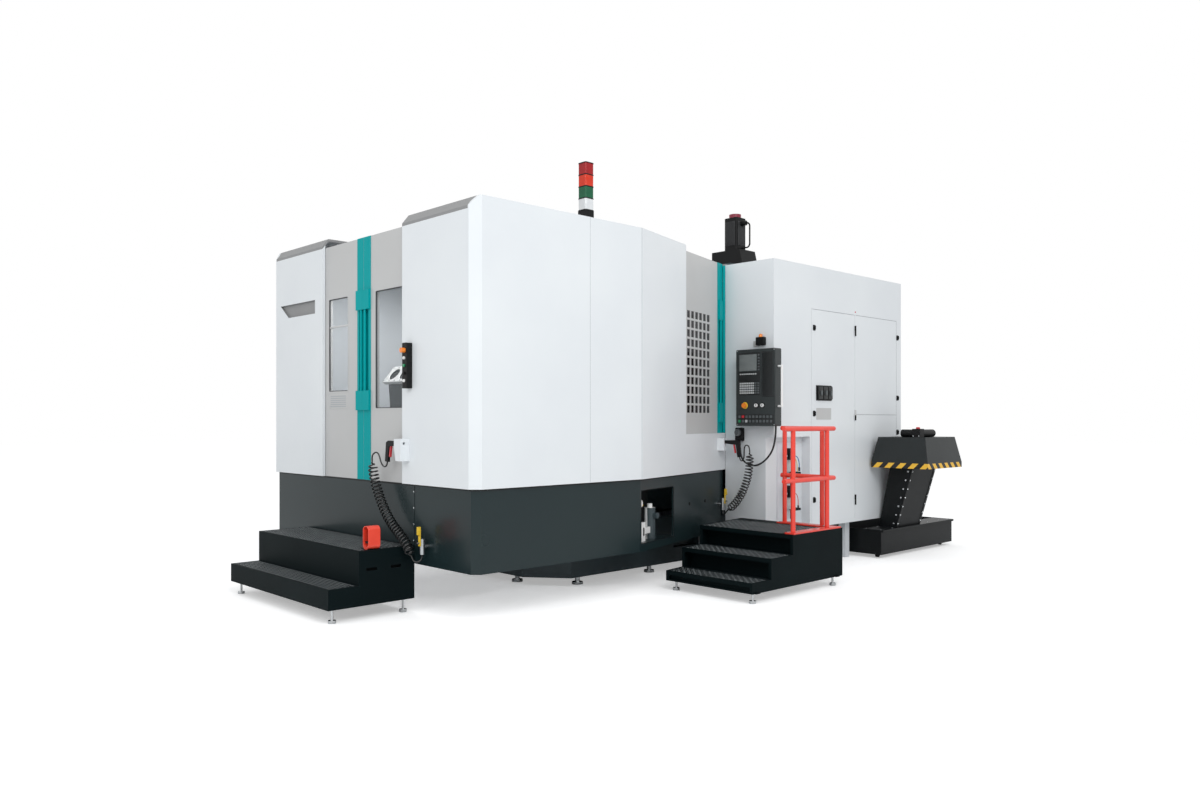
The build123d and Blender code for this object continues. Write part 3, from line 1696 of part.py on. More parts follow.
with BuildPart() as side_hose:
    tube(side_coil, coil_radius)
    tube(side_lead, lead_radius)
    tube(side_exit, lead_radius)
finish(side_hose, "side_hose")

# Control panel on the cabinet, with its emergency stop
panel_inset = 385.0
panel_width = 510.0
panel_depth = 108.0
panel_standoff = 42.0
panel_left = cabinet_outer - panel_inset
panel_right = panel_left + panel_width
panel_back = cabinet_front - panel_standoff
panel_front = panel_back - panel_depth
panel_low = 1580.0
panel_high = 2400.0
panel_edge = 14.0
bracket_low = 1760.0
bracket_high = 2240.0
bracket_width = 350.0
bracket_right = panel_left + bracket_width
bezel_depth = 5.0
screen_low = 2060.0
screen_high = 2365.0
screen_inset = 30.0
screen_width = 290.0
screen_left = panel_left + screen_inset
screen_right = screen_left + screen_width
stop_inset = 120.0
stop_x = panel_left + stop_inset
stop_z = 1800.0
stop_radius = 27.0
stop_bore = 15.0
stop_out = 34.0
stop_head = 20.0
stop_travel = 8.0
knob_insets = (270.0, 350.0)
knob_radius = 19.0
knob_out = 16.0
grab_gap = 34.0
grab_x = panel_right + grab_gap
grab_radius = 11.0
grab_low = 1790.0
grab_high = 2210.0

with BuildPart() as control_panel:
    with BuildSketch(Plane.XZ.offset(-panel_back)):
        with Locations(((panel_left + panel_right) / 2, (panel_low + panel_high) / 2)):
            RectangleRounded(panel_right - panel_left, panel_high - panel_low, panel_edge)
    extrude(amount=panel_back - panel_front)
    block((panel_left + sheet, panel_back, bracket_low), (bracket_right, cabinet_front, bracket_high))
    block(
        (screen_left, panel_front - overrun, screen_low),
        (screen_right, panel_front + bezel_depth, screen_high),
        mode=Mode.SUBTRACT,
    )
    rod(
        (stop_x, panel_front - overrun, stop_z),
        (0, 1, 0),
        stop_bore + run_fit,
        stop_out + overrun,
        mode=Mode.SUBTRACT,
    )
    for inset in knob_insets:
        rod((panel_left + inset, panel_front, stop_z), (0, -1, 0), knob_radius, knob_out)
    grab_y = (panel_front + panel_back) / 2
    for height in (grab_low, grab_high):
        rod((panel_right, grab_y, height), (1, 0, 0), grab_radius, grab_x - panel_right + grab_radius)
    grab_foot = (grab_x + grab_radius, grab_y, grab_low - grab_radius)
    rod(grab_foot, (0, 0, 1), grab_radius, grab_high - grab_low + 2 * grab_radius)
finish(control_panel, "control_panel")

with BuildPart() as panel_stop:
    rod((stop_x, panel_front - stop_travel - fit_gap, stop_z), (0, -1, 0), stop_radius, stop_head)
    rod((stop_x, panel_front - stop_travel - fit_gap, stop_z), (0, 1, 0), stop_bore, stop_out)
finish(panel_stop, "panel_stop")

# Push-button box beside the loading doors
button_left = 845.0
button_right = 917.0
button_low = 1916.0
button_high = 2306.0
button_depth = 55.0
button_edge = 10.0
button_count = 5
button_radius = 13.0
button_out = 12.0
button_stop_radius = 22.0
button_stop_out = 36.0

with BuildPart() as button_box:
    with BuildSketch(Plane.XZ.offset(-front_y)):
        with Locations(((button_left + button_right) / 2, (button_low + button_high) / 2)):
            RectangleRounded(button_right - button_left, button_high - button_low, button_edge)
    extrude(amount=button_depth)
    button_pitch = (button_high - button_low) / (button_count + 1)
    button_x = (button_left + button_right) / 2
    for index in range(button_count):
        height = button_low + (index + 1) * button_pitch
        top = index == button_count - 1
        rod(
            (button_x, front_y - button_depth, height),
            (0, -1, 0),
            button_stop_radius if top else button_radius,
            button_stop_out if top else button_out,
        )
finish(button_box, "button_box")

# Hand wheel box on the front of the cabinet, its dial and cable
wheel_step = 48.0
wheel_x = panel_left - wheel_step
wheel_half = 46.0
wheel_low = 1415.0
wheel_high = 1560.0
wheel_depth = 48.0
wheel_z = 1508.0
dial_radius = 40.0
dial_depth = 20.0
dial_pin = 8.0
grip_ring = 28.0
grip_radius = 6.0
grip_out = 14.0

with BuildPart() as wheel_box:
    with BuildSketch(Plane.XZ.offset(-cabinet_front)):
        with Locations((wheel_x, (wheel_low + wheel_high) / 2)):
            RectangleRounded(2 * wheel_half, wheel_high - wheel_low, panel_edge)
    extrude(amount=wheel_depth)
    rod((wheel_x, cabinet_front - wheel_depth, wheel_z), (0, -1, 0), dial_pin, dial_depth / 2)
finish(wheel_box, "wheel_box")

with BuildPart() as wheel_dial:
    dial_y = cabinet_front - wheel_depth - seat_gap
    rod((wheel_x, dial_y, wheel_z), (0, -1, 0), dial_radius, dial_depth)
    rod((wheel_x, dial_y - dial_depth, wheel_z + grip_ring), (0, -1, 0), grip_radius, grip_out)
    rod(
        (wheel_x, dial_y + overrun, wheel_z),
        (0, -1, 0),
        dial_pin + run_fit,
        overrun + dial_depth / 2 + seat_gap,
        mode=Mode.SUBTRACT,
    )
finish(wheel_dial, "wheel_dial")

cable_setback = 80.0
cable_inset = 30.0
cable_y = cabinet_front - cable_setback
cable_x = panel_right - cable_inset
cable_foot_y = cabinet_front - wheel_depth / 2
cable_steps = ((400.0, 1264.0), (220.0, 1140.0), (50.0, 1180.0))
wheel_cable_path = (
    (cable_x, grab_y, panel_low),
    (cable_x, grab_y, 1440.0),
    *((panel_left + step, cable_y, height) for step, height in cable_steps),
    (wheel_x, cable_foot_y, 1290.0),
    (wheel_x, cable_foot_y, wheel_low),
)

with BuildPart() as wheel_cable:
    tube(wheel_cable_path, cable_radius)
finish(wheel_cable, "wheel_cable")

# Air filters and regulators in the niche of the cabinet
unit_y = 130.0
unit_half = 42.0
unit_x = niche_wall
back_half = 150.0
back_low = 560.0
back_high = 1400.0
back_sheet = 10.0
unit_heads = (1210.0, 800.0)
bowl_radius = 30.0
bowl_height = 130.0
gauge_radius = 28.0
gauge_depth = 16.0
pipe_radius = 9.0

with BuildPart() as air_units:
    block((unit_x, unit_y - back_half, back_low), (unit_x + back_sheet, unit_y + back_half, back_high))
    middle_x = unit_x + back_sheet + unit_half
    for height in unit_heads:
        block(
            (unit_x + back_sheet, unit_y - unit_half, height),
            (unit_x + back_sheet + 2 * unit_half, unit_y + unit_half, height + 2 * unit_half),
        )
        rod((middle_x, unit_y, height), (0, 0, -1), bowl_radius, bowl_height)
        rod((middle_x, unit_y, height + 2 * unit_half), (0, 0, 1), bowl_radius * 3 / 4, unit_half)
        rod((middle_x, unit_y - unit_half, height + unit_half), (0, -1, 0), gauge_radius, gauge_depth)
    pipe_length = unit_heads[0] + unit_half - back_low
    rod((middle_x, unit_y + unit_half, back_low), (0, 0, 1), pipe_radius, pipe_length)
finish(air_units, "air_units")

# Central lubricator on the shelf behind the opening of the skirt
tub_at = 150.0
tub_half = 75.0
tub_height = 180.0
tub_depth = 120.0
tub_inset = 90.0
pump_at = 430.0
pump_radius = 55.0
pump_height = 300.0
dial_gauge = 30.0
pump_cap = 26.0
cap_height = 40.0
link = 60.0

with BuildPart() as lube_unit:
    tub = [
        side_point(tub_at - tub_half, tub_inset),
        side_point(tub_at + tub_half, tub_inset),
        side_point(tub_at + tub_half, tub_inset + tub_depth),
        side_point(tub_at - tub_half, tub_inset + tub_depth),
    ]
    prism(Plane.XY.offset(lube_low), tub, tub_height)
    pump = side_point(pump_at, tub_inset + tub_depth / 2)
    rod((*pump, lube_low), (0, 0, 1), pump_radius, pump_height)
    rod((*pump, lube_low + pump_height), (0, 0, 1), pump_cap, cap_height)
    bridge = [
        side_point(tub_at, tub_inset + tub_depth / 4),
        side_point(pump_at, tub_inset + tub_depth / 4),
        side_point(pump_at, tub_inset + tub_depth * 3 / 4),
        side_point(tub_at, tub_inset + tub_depth * 3 / 4),
    ]
    prism(Plane.XY.offset(lube_low + link), bridge, link)
    gauge_at = side_point(pump_at, tub_inset + tub_depth / 2)
    rod((*gauge_at, lube_low + pump_height * 3 / 4), (*outward, 0), dial_gauge, tub_depth * 3 / 4)
finish(lube_unit, "lube_unit")

# Signal tower on the roof
tower_inset = 110.0
tower_x = half_width - tower_inset
tower_y = -2750.0
tower_half = 50.0
tower_foot = 80.0
lamp_height = 105.0
lamp_count = 4

with BuildPart() as tower_base:
    block(
        (tower_x - tower_half, tower_y - tower_half, roof_top),
        (tower_x + tower_half, tower_y + tower_half, roof_top + tower_foot),
    )
finish(tower_base, "tower_base")

with BuildPart() as tower_lamps:
    for index in range(lamp_count):
        low = roof_top + tower_foot + index * lamp_height
        with BuildSketch(Plane.XY.offset(low)):
            with Locations((tower_x, tower_y)):
                RectangleRounded(2 * tower_half, 2 * tower_half, panel_edge)
        extrude(amount=lamp_height - pane_gap)
finish(tower_lamps, "tower_lamps")
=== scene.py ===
"""Looks of a horizontal machining centre with a pallet changer.

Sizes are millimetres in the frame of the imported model: X to the right as seen from the loading doors, Y to
the back and Z up. A mesh is turned to metres when it is made.
"""

import logging
import math
from dataclasses import dataclass, field
from enum import Enum
from itertools import product
from typing import Iterable, Sequence

import bpy
import numpy as np
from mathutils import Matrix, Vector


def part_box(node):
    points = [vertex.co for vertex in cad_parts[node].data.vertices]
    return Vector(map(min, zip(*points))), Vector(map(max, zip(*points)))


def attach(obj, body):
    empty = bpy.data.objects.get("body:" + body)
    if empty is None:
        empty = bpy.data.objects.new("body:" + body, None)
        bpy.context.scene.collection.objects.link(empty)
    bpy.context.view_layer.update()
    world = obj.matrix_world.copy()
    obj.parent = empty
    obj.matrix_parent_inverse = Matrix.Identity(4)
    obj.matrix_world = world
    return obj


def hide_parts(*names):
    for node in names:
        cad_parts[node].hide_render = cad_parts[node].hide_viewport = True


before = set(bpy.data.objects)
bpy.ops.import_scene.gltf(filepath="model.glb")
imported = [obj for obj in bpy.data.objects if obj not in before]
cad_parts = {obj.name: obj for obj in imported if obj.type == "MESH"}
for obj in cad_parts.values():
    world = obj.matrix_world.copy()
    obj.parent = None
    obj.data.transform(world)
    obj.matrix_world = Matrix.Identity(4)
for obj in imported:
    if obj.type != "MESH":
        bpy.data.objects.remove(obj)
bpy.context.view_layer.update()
MM = 0.001
LOG = logging.getLogger("machining_centre")
ANYWHERE = (-math.inf, math.inf)
COAT_ROUGHNESS = 0.08
SHARP_ANGLE = math.radians(38)  # a steeper edge isn't smoothed over


class Body(str, Enum):
    """Rigid groups of the machine that a piece can ride on."""

    MACHINE = "machine"
    LEFT_DOOR = "left_door"
    RIGHT_DOOR = "right_door"
    SERVICE_DOOR = "service_door"
    COLUMN = "column"
    CHANGER = "changer"
    DIAL = "dial"


class Grain(Enum):
    """How a surface was made, as the stretch of its fine relief along X, Y and Z."""

    EVEN = (1.0, 1.0, 1.0)
    BRUSHED_UP = (1.0, 1.0, 0.03)
    BRUSHED_ACROSS = (0.03, 1.0, 1.0)


def linear(code: str) -> tuple[float, float, float, float]:
    """Turn an sRGB hex colour to linear red, green, blue and an alpha of one.

    Args:
        code: six hex digits, with or without a leading mark.

    Returns:
        The linear colour.
    """
    digits = code.lstrip("#")
    shares = [int(digits[i:i + 2], 16) / 255 for i in (0, 2, 4)]
    levels = [s / 12.92 if s <= 0.04045 else ((s + 0.055) / 1.055) ** 2.4 for s in shares]
    return (*levels, 1.0)


def add_node(tree: bpy.types.NodeTree, kind: str, inputs: dict | None = None, **settings) -> bpy.types.Node:
    """Add a node, set its properties, and fill or link its inputs.

    Args:
        tree: the node tree that gets it.
        kind: the node's type name.
        inputs: values or sockets for its inputs, by name or number.
        settings: properties of the node.

    Returns:
        The new node.
    """
    made = tree.nodes.new(kind)
    for name, value in settings.items():
        setattr(made, name, value)
    for name, value in (inputs or {}).items():
        if isinstance(value, bpy.types.NodeSocket):
            tree.links.new(value, made.inputs[name])
        else:
            made.inputs[name].default_value = value
    return made


@dataclass(frozen=True)
class Finish:
    """A surface as it was made: its colour, how the colour drifts, its gloss and its fine relief.

    The colour drifts to the tint in patches of drift_mm, and the roughness by spread with it. The relief is
    relief_mm high, and its grains are grit_mm wide.
    """

    name: str
    colour: str
    tint: str
    roughness: float
    metallic: float = 0.0
    coat: float = 0.0
    drift_mm: float = 900.0
    grit_mm: float = 4.0
    relief_mm: float = 0.03
    spread: float = 0.06
    grain: Grain = Grain.EVEN
    alpha: float = 1.0
    glow: float = 0.0
    specular: float = 0.5

    def material(self) -> bpy.types.Material:
        """Return the material of this finish, made on first use."""
        found = bpy.data.materials.get(self.name)
        if found is not None:
            return found
        made = bpy.data.materials.new(self.name)
        made.use_nodes = True
        tree = made.node_tree
        shader = tree.nodes["Principled BSDF"]
        values = {
            "Metallic": self.metallic,
            "Coat Weight": self.coat,
            "Coat Roughness": COAT_ROUGHNESS,
            "Alpha": self.alpha,
            "Specular IOR Level": self.specular,
        }
        if self.glow:
            values |= {"Emission Color": linear(self.colour), "Emission Strength": self.glow}
        for name, value in values.items():
            shader.inputs[name].default_value = value
        spot = add_node(tree, "ShaderNodeTexCoord").outputs["Object"]
        self.colour_and_gloss(tree, shader, spot)
        self.fine_relief(tree, shader, spot)
        return made

    def colour_and_gloss(
        self, tree: bpy.types.NodeTree, shader: bpy.types.Node, spot: bpy.types.NodeSocket
    ) -> None:
        """Drift the colour towards its tint in soft patches, and the roughness with it."""
        patch = {"Vector": spot, "Scale": 1 / (self.drift_mm * MM), "Detail": 3.0}
        drift = add_node(tree, "ShaderNodeTexNoise", patch).outputs["Fac"]
        share = add_node(tree, "ShaderNodeMapRange", {"Value": drift, "From Min": 0.3, "From Max": 0.7})
        ends = {0: share.outputs[0], 6: linear(self.colour), 7: linear(self.tint)}
        mixed = add_node(tree, "ShaderNodeMix", ends, data_type="RGBA")
        tree.links.new(mixed.outputs[2], shader.inputs["Base Color"])
        low, high = max(self.roughness - self.spread, 0.02), min(self.roughness + self.spread, 1.0)
        gloss = add_node(tree, "ShaderNodeMapRange", {"Value": drift, "To Min": low, "To Max": high})
        tree.links.new(gloss.outputs[0], shader.inputs["Roughness"])

    def fine_relief(
        self, tree: bpy.types.NodeTree, shader: bpy.types.Node, spot: bpy.types.NodeSocket
    ) -> None:
        """Raise a fine grain, stretched along the way of working."""
        stretched = add_node(tree, "ShaderNodeMapping", {"Vector": spot, "Scale": self.grain.value})
        fine = {"Vector": stretched.outputs[0], "Scale": 1 / (self.grit_mm * MM), "Detail": 2.0}
        grit = add_node(tree, "ShaderNodeTexNoise", fine)
        height = {"Height": grit.outputs["Fac"], "Distance": self.relief_mm * MM, "Strength": 1.0}
        bump = add_node(tree, "ShaderNodeBump", height)
        tree.links.new(bump.outputs[0], shader.inputs["Normal"])


@dataclass(frozen=True)
class Stripes(Finish):
    """Two colours in slanted bands, printed on tape."""

    other: str = "#141414"
    pitch_mm: float = 100.0

    def colour_and_gloss(
        self, tree: bpy.types.NodeTree, shader: bpy.types.Node, spot: bpy.types.NodeSocket
    ) -> None:
        """Cut a slanted saw wave at half height into two colours."""
        share = add_node(tree, "ShaderNodeSeparateXYZ", {"Vector": spot}).outputs
        wave = share["Y"]
        for work, other in (("SUBTRACT", share["X"]), ("ADD", share["Z"]), ("MULTIPLY", 1 / (self.pitch_mm * MM))):
            wave = add_node(tree, "ShaderNodeMath", {0: wave, 1: other}, operation=work).outputs[0]
        part = add_node(tree, "ShaderNodeMath", {0: wave}, operation="FRACT")
        cut = add_node(tree, "ShaderNodeValToRGB", {"Fac": part.outputs[0]})
        cut.color_ramp.interpolation = "CONSTANT"
        cut.color_ramp.elements[0].color = linear(self.colour)
        cut.color_ramp.elements[1].position = 0.5
        cut.color_ramp.elements[1].color = linear(self.other)
        tree.links.new(cut.outputs[0], shader.inputs["Base Color"])
        shader.inputs["Roughness"].default_value = self.roughness


# Powder coat on steel sheet: even, with a faint orange peel and a soft sheen
WHITE_COAT = Finish("white_powder_coat", "#E0E5E8", "#DBE0E4", 0.38, coat=0.15, grit_mm=5.0)
GREY_COAT = Finish("grey_powder_coat", "#BEBFBF", "#B8B9B9", 0.42, coat=0.05, grit_mm=5.0)
TEAL_COAT = Finish("teal_enamel", "#009FA2", "#00989B", 0.38, grit_mm=5.0, specular=0.06)
ROOF_COAT = Finish("roof_grey_coat", "#8E8F90", "#868788", 0.5, grit_mm=5.0)
# Wet-sprayed enamel: nearly black green-grey and glossy, so it mirrors the floor
SKIRT_COAT = Finish(
    "skirt_enamel", "#1A292B", "#19272A", 0.28, coat=0.08, grit_mm=8.0, relief_mm=0.02, spread=0.02, specular=0.3
)
# Enamel on the steps: matt and nearly black, with the paint rubbed off the studs
STEP_COAT = Finish("step_enamel", "#0B1719", "#0A1315", 0.5, specular=0.05)
TREAD_STEEL = Finish("worn_tread_paint", "#12191B", "#0D1315", 0.62, drift_mm=180.0, spread=0.1, specular=0.05)
LOZENGE_STEEL = Finish("rubbed_tread_studs", "#8C9294", "#6E7476", 0.42, metallic=0.3, drift_mm=120.0)
# Coats on tube and plate: red with a clear sheen, black dull enough to hide the white floor
RAIL_COAT = Finish("red_powder_coat", "#EA4030", "#E03A2B", 0.36, coat=0.3)
PEDAL_COAT = Finish("red_orange_guard", "#EF4B36", "#E5432F", 0.38, coat=0.2, drift_mm=120.0)
CONVEYOR_COAT = Finish("conveyor_satin_black", "#121517", "#0F1213", 0.44, specular=0.2)
HOOD_COAT = Finish("hood_charcoal", "#292D2E", "#242829", 0.4, specular=0.25)
LINER_COAT = Finish("dark_liner", "#14181A", "#101315", 0.6)
BAY_COAT = Finish("pale_liner", "#DADBE2", "#D2D4DA", 0.4, coat=0.2)
# Castings: thick paint over a sand-cast skin
CASTING = Finish("painted_casting", "#39474C", "#323E42", 0.5, grit_mm=6.0, relief_mm=0.25)
DARK_CASTING = Finish("fixture_casting", "#17191A", "#101213", 0.5, grit_mm=7.0, relief_mm=0.4, drift_mm=150.0)
# Bare metal: bright, with the lay of the tool in its grain
GROUND_IRON = Finish(
    "ground_iron", "#8C9093", "#82868A", 0.34, metallic=0.9, grit_mm=1.2, relief_mm=0.05, grain=Grain.BRUSHED_ACROSS
)
STEEL = Finish("turned_steel", "#C3C6C8", "#B4B8BA", 0.28, metallic=1.0, grit_mm=1.0, drift_mm=60.0)
BRIGHT_STEEL = Finish("bright_zinc", "#D9DBDC", "#C9CCCE", 0.22, metallic=1.0, drift_mm=40.0)
WORK_ALLOY = Finish("milled_alloy", "#EEEFEE", "#E2E4E4", 0.36, metallic=0.15, grit_mm=3.0, drift_mm=120.0)
# Black moulding and extrusion: matt, with a spark-eroded or drawn skin
BLACK_MOULDING = Finish("black_moulding", "#131415", "#0F1011", 0.48, grit_mm=1.5, relief_mm=0.05, specular=0.2)
MOTOR_GREY = Finish("motor_extrusion", "#4A4B4D", "#3E3F41", 0.36, metallic=0.35, grain=Grain.BRUSHED_UP)
# Rubber, the gaps between panels and dark marks: matt, so that they read as depth; the near-black one is also painted
# shade inside the block's bores and bolt holes
SEAL_RUBBER = Finish("seal_rubber", "#4A4C4E", "#414345", 0.7, grit_mm=2.0)
SEAM_SHADE = Finish("panel_gap", "#A9AEB2", "#A1A6AA", 0.6)
DARK_MARK_AND_SHADE = Finish("dark_mark_and_painted_shade", "#0E1011", "#0C0D0E", 0.7)
# The panel: textured paint, worn key caps and a screen that is off but for a faint glow
SLATE = Finish("slate_texture_paint", "#2F3536", "#2A3031", 0.44, grit_mm=2.5, relief_mm=0.06)
PLATE_DARK = Finish("dark_key_plate", "#1B1F20", "#171A1B", 0.4, grit_mm=2.0)
KEY_GREY = Finish("grey_key_caps", "#B9BDBE", "#AFB3B4", 0.45, drift_mm=60.0)
KEY_DARK = Finish("dark_key_caps", "#565C5E", "#4D5355", 0.45, drift_mm=60.0)
SCREEN = Finish("screen_glass", "#6E7474", "#5C6263", 0.12, coat=0.8, drift_mm=260.0, relief_mm=0.0, glow=0.06)
# Coloured mouldings and tubes: glossy, and even in colour
ORANGE = Finish("orange_moulding", "#F08A2C", "#EA8024", 0.28, coat=0.4, drift_mm=40.0)
YELLOW = Finish("yellow_vinyl", "#E8C43C", "#DEB830", 0.4, drift_mm=40.0)
RED = Finish("red_moulding", "#C8202C", "#BC1C28", 0.3, coat=0.4, drift_mm=40.0)
CAP_RED = Finish("dull_red_cap", "#8E1F3A", "#821A34", 0.4, drift_mm=80.0)
GREEN = Finish("green_moulding", "#1C8C5A", "#187F50", 0.3, coat=0.4, drift_mm=40.0)
BLUE = Finish("blue_tube", "#2E7FB8", "#2874AB", 0.35, drift_mm=40.0)
WHITE_MOULDING = Finish("white_moulding", "#ECEDEC", "#E4E6E6", 0.32, coat=0.3, drift_mm=80.0)
MILKY = Finish("milky_bowl", "#C9CED0", "#BEC4C6", 0.2, coat=0.4, drift_mm=60.0, alpha=0.75)
HOSE_SKIN = Finish("polyurethane_hose", "#141516", "#101112", 0.3, coat=0.3, drift_mm=60.0, relief_mm=0.01)
CABLE_SKIN = Finish("rubber_cable", "#17181A", "#131415", 0.5, drift_mm=60.0)
# Lamp lenses: coloured acrylic with a little light of its own
LENS_RED = Finish("red_lens", "#9C1218", "#8C0F15", 0.22, coat=0.1, drift_mm=50.0, glow=0.06, specular=0.25)
LENS_AMBER = Finish("amber_lens", "#CC3418", "#BE2C14", 0.22, coat=0.1, drift_mm=50.0, glow=0.06, specular=0.25)
LENS_GREEN = Finish("green_lens", "#085A3A", "#065034", 0.22, coat=0.1, drift_mm=50.0, glow=0.05, specular=0.25)
LENS_CLEAR = Finish("clear_lens", "#DDE0E2", "#CFD3D6", 0.18, coat=0.6, drift_mm=50.0)
# Laminated glass seen square on: mostly clear, with a faint cool tint
PANE = Finish(
    "laminated_pane", "#DCE6EA", "#D4DEE4", 0.05, drift_mm=800.0, relief_mm=0.0, alpha=0.07, spread=0.02
)
SMOKED_PANE = Finish("smoked_pane", "#191314", "#1D1517", 0.06, drift_mm=300.0, relief_mm=0.0, alpha=0.88, spread=0.02)
# Warning tape: plain print, neither glossy nor dull
HAZARD = Stripes("hazard_tape", "#EDBA3C", "#E4B034", 0.42, pitch_mm=150.0)


@dataclass
class Shape:
    """Points in millimetres with quads between them and flat caps."""

    points: np.ndarray
    quads: np.ndarray
    caps: list[np.ndarray] = field(default_factory=list)

    def tiled(self, offsets: np.ndarray) -> "Shape":
        """Repeat the shape at each offset, as one array sum.

        Args:
            offsets: one row of three millimetres for each copy.

        Returns:
            All the copies as one shape.
        """
        offsets = np.asarray(offsets, float).reshape(-1, 3)
        starts = np.arange(len(offsets)) * len(self.points)
        points = (self.points[None] + offsets[:, None]).reshape(-1, 3)
        quads = (self.quads[None] + starts[:, None, None]).reshape(-1, 4)
        return Shape(points, quads, [cap + start for start in starts for cap in self.caps])


def joined(shapes: Iterable[Shape]) -> Shape:
    """Put several shapes together as one, with their indices shifted."""
    shapes = list(shapes)
    starts = np.cumsum([0] + [len(s.points) for s in shapes[:-1]])
    points = np.concatenate([s.points for s in shapes])
    quads = np.concatenate([s.quads + start for s, start in zip(shapes, starts)])
    return Shape(points, quads, [cap + start for s, start in zip(shapes, starts) for cap in s.caps])


def skin(grid: np.ndarray, ends: bool = True) -> Shape:
    """Cover a grid of points with quads. The second parameter runs round and closes on itself.

    Args:
        grid: points by ring and by place on the ring.
        ends: whether the first and last ring get a flat cap.

    Returns:
        The closed surface.
    """
    rings, places = grid.shape[:2]
    index = np.arange(rings * places).reshape(rings, places)
    after = np.roll(index, -1, axis=1)
    quads = np.stack([index[:-1], after[:-1], after[1:], index[1:]], axis=-1).reshape(-1, 4)
    caps = [index[0][::-1], index[-1]] if ends else []
    return Shape(grid.reshape(-1, 3), quads, caps)


def rounded(width: float, height: float, corner: float, steps: int = 4) -> np.ndarray:
    """Outline of a rectangle with round corners: four quarter circles, counter-clockwise.

    Args:
        width, height: the outer size.
        corner: radius of the corners.
        steps: points on each quarter circle.

    Returns:
        Points in the plane, one row each.
    """
    corner = max(min(corner, width / 2, height / 2), 0.01)
    angles = np.linspace(0, math.pi / 2, steps)[None] + np.arange(4)[:, None] * math.pi / 2
    signs = np.array([[1, 1], [-1, 1], [-1, -1], [1, -1]])
    centres = signs * np.array([width / 2 - corner, height / 2 - corner])
    return (centres[:, None] + corner * np.stack([np.cos(angles), np.sin(angles)], -1)).reshape(-1, 2)


def raised(outline: np.ndarray, level: float) -> np.ndarray:
    """Lift a flat outline to a level."""
    return np.column_stack([outline, np.full(len(outline), level)])


def plate(width: float, height: float, depth: float, corner: float = 3.0, edge: float = 1.5) -> Shape:
    """Slab with a rounded outline and a rounded front edge: rings that draw in as they rise.

    Args:
        width, height: the outer size.
        depth: how far it stands out.
        corner: radius of the outline's corners.
        edge: radius between side and face.

    Returns:
        The slab, centred on the origin, standing out along the third axis.
    """
    edge = min(edge, depth * 0.9)
    turn = np.linspace(0, math.pi / 2, 4)
    insets = np.concatenate([[0], edge * (1 - np.cos(turn))])
    levels = np.concatenate([[0], depth - edge + edge * np.sin(turn)])
    drawn = zip(insets, levels)
    return skin(np.array([raised(rounded(width - 2 * i, height - 2 * i, corner - i), z) for i, z in drawn]))


def border(width: float, height: float, band: float, depth: float, corner: float = 6.0) -> Shape:
    """Frame round an opening: a rectangular section carried round a rounded outline."""
    section = ((0, 0), (0, depth), (band, depth), (band, 0), (0, 0))
    rings = [raised(rounded(width - 2 * i, height - 2 * i, corner), z) for i, z in section]
    return skin(np.array(rings), ends=False)


def turned(profile: Sequence[tuple[float, float]], sides: int = 24) -> Shape:
    """Turn a profile of radius and height round the third axis."""
    angles = np.linspace(0, 2 * math.pi, sides, endpoint=False)
    circle = np.stack([np.cos(angles), np.sin(angles)], -1)
    radii, heights = np.array(profile, float).T
    flat = radii[:, None, None] * circle[None]
    return skin(np.concatenate([flat, np.broadcast_to(heights[:, None, None], (*flat.shape[:2], 1))], -1))


def dome(radius: float, height: float, steps: int = 6) -> list[tuple[float, float]]:
    """Profile of a round cap: a quarter ellipse that ends just off the axis."""
    turn = np.linspace(0, math.pi / 2 * 0.97, steps)
    return list(zip(radius * np.cos(turn), height * np.sin(turn)))


def slab(outline: Sequence[tuple[float, float]], depth: float) -> Shape:
    """Flat piece of any outline, given counter-clockwise, standing out along the third axis."""
    flat = np.array(outline, float)
    return skin(np.array([raised(flat, 0.0), raised(flat, depth)]))


def tube(path: np.ndarray, radius: float, sides: int = 10) -> Shape:
    """Carry a circle along a path, square to the path's tangent at each point.

    Args:
        path: points in millimetres.
        radius: of the circle.
        sides: of the circle.

    Returns:
        The tube with flat ends.
    """
    path = np.asarray(path, float)
    tangent = np.gradient(path, axis=0)
    tangent /= np.linalg.norm(tangent, axis=1)[:, None]
    spare = np.eye(3)[np.argmin(np.abs(tangent).max(axis=0))]
    side = np.cross(spare, tangent)
    side /= np.linalg.norm(side, axis=1)[:, None]
    other = np.cross(tangent, side)
    angles = np.linspace(0, 2 * math.pi, sides, endpoint=False)
    ring = np.cos(angles)[None, :, None] * side[:, None] + np.sin(angles)[None, :, None] * other[:, None]
    return skin(path[:, None] + radius * ring)


def arc_through(start: Sequence, bend: Sequence, end: Sequence, steps: int = 14) -> np.ndarray:
    """Points of the parabola that leaves start and reaches end along the lines to a bend point."""
    t = np.linspace(0, 1, steps)[:, None]
    start, bend, end = (np.array(p, float) for p in (start, bend, end))
    return (1 - t) ** 2 * start + 2 * t * (1 - t) * bend + t ** 2 * end


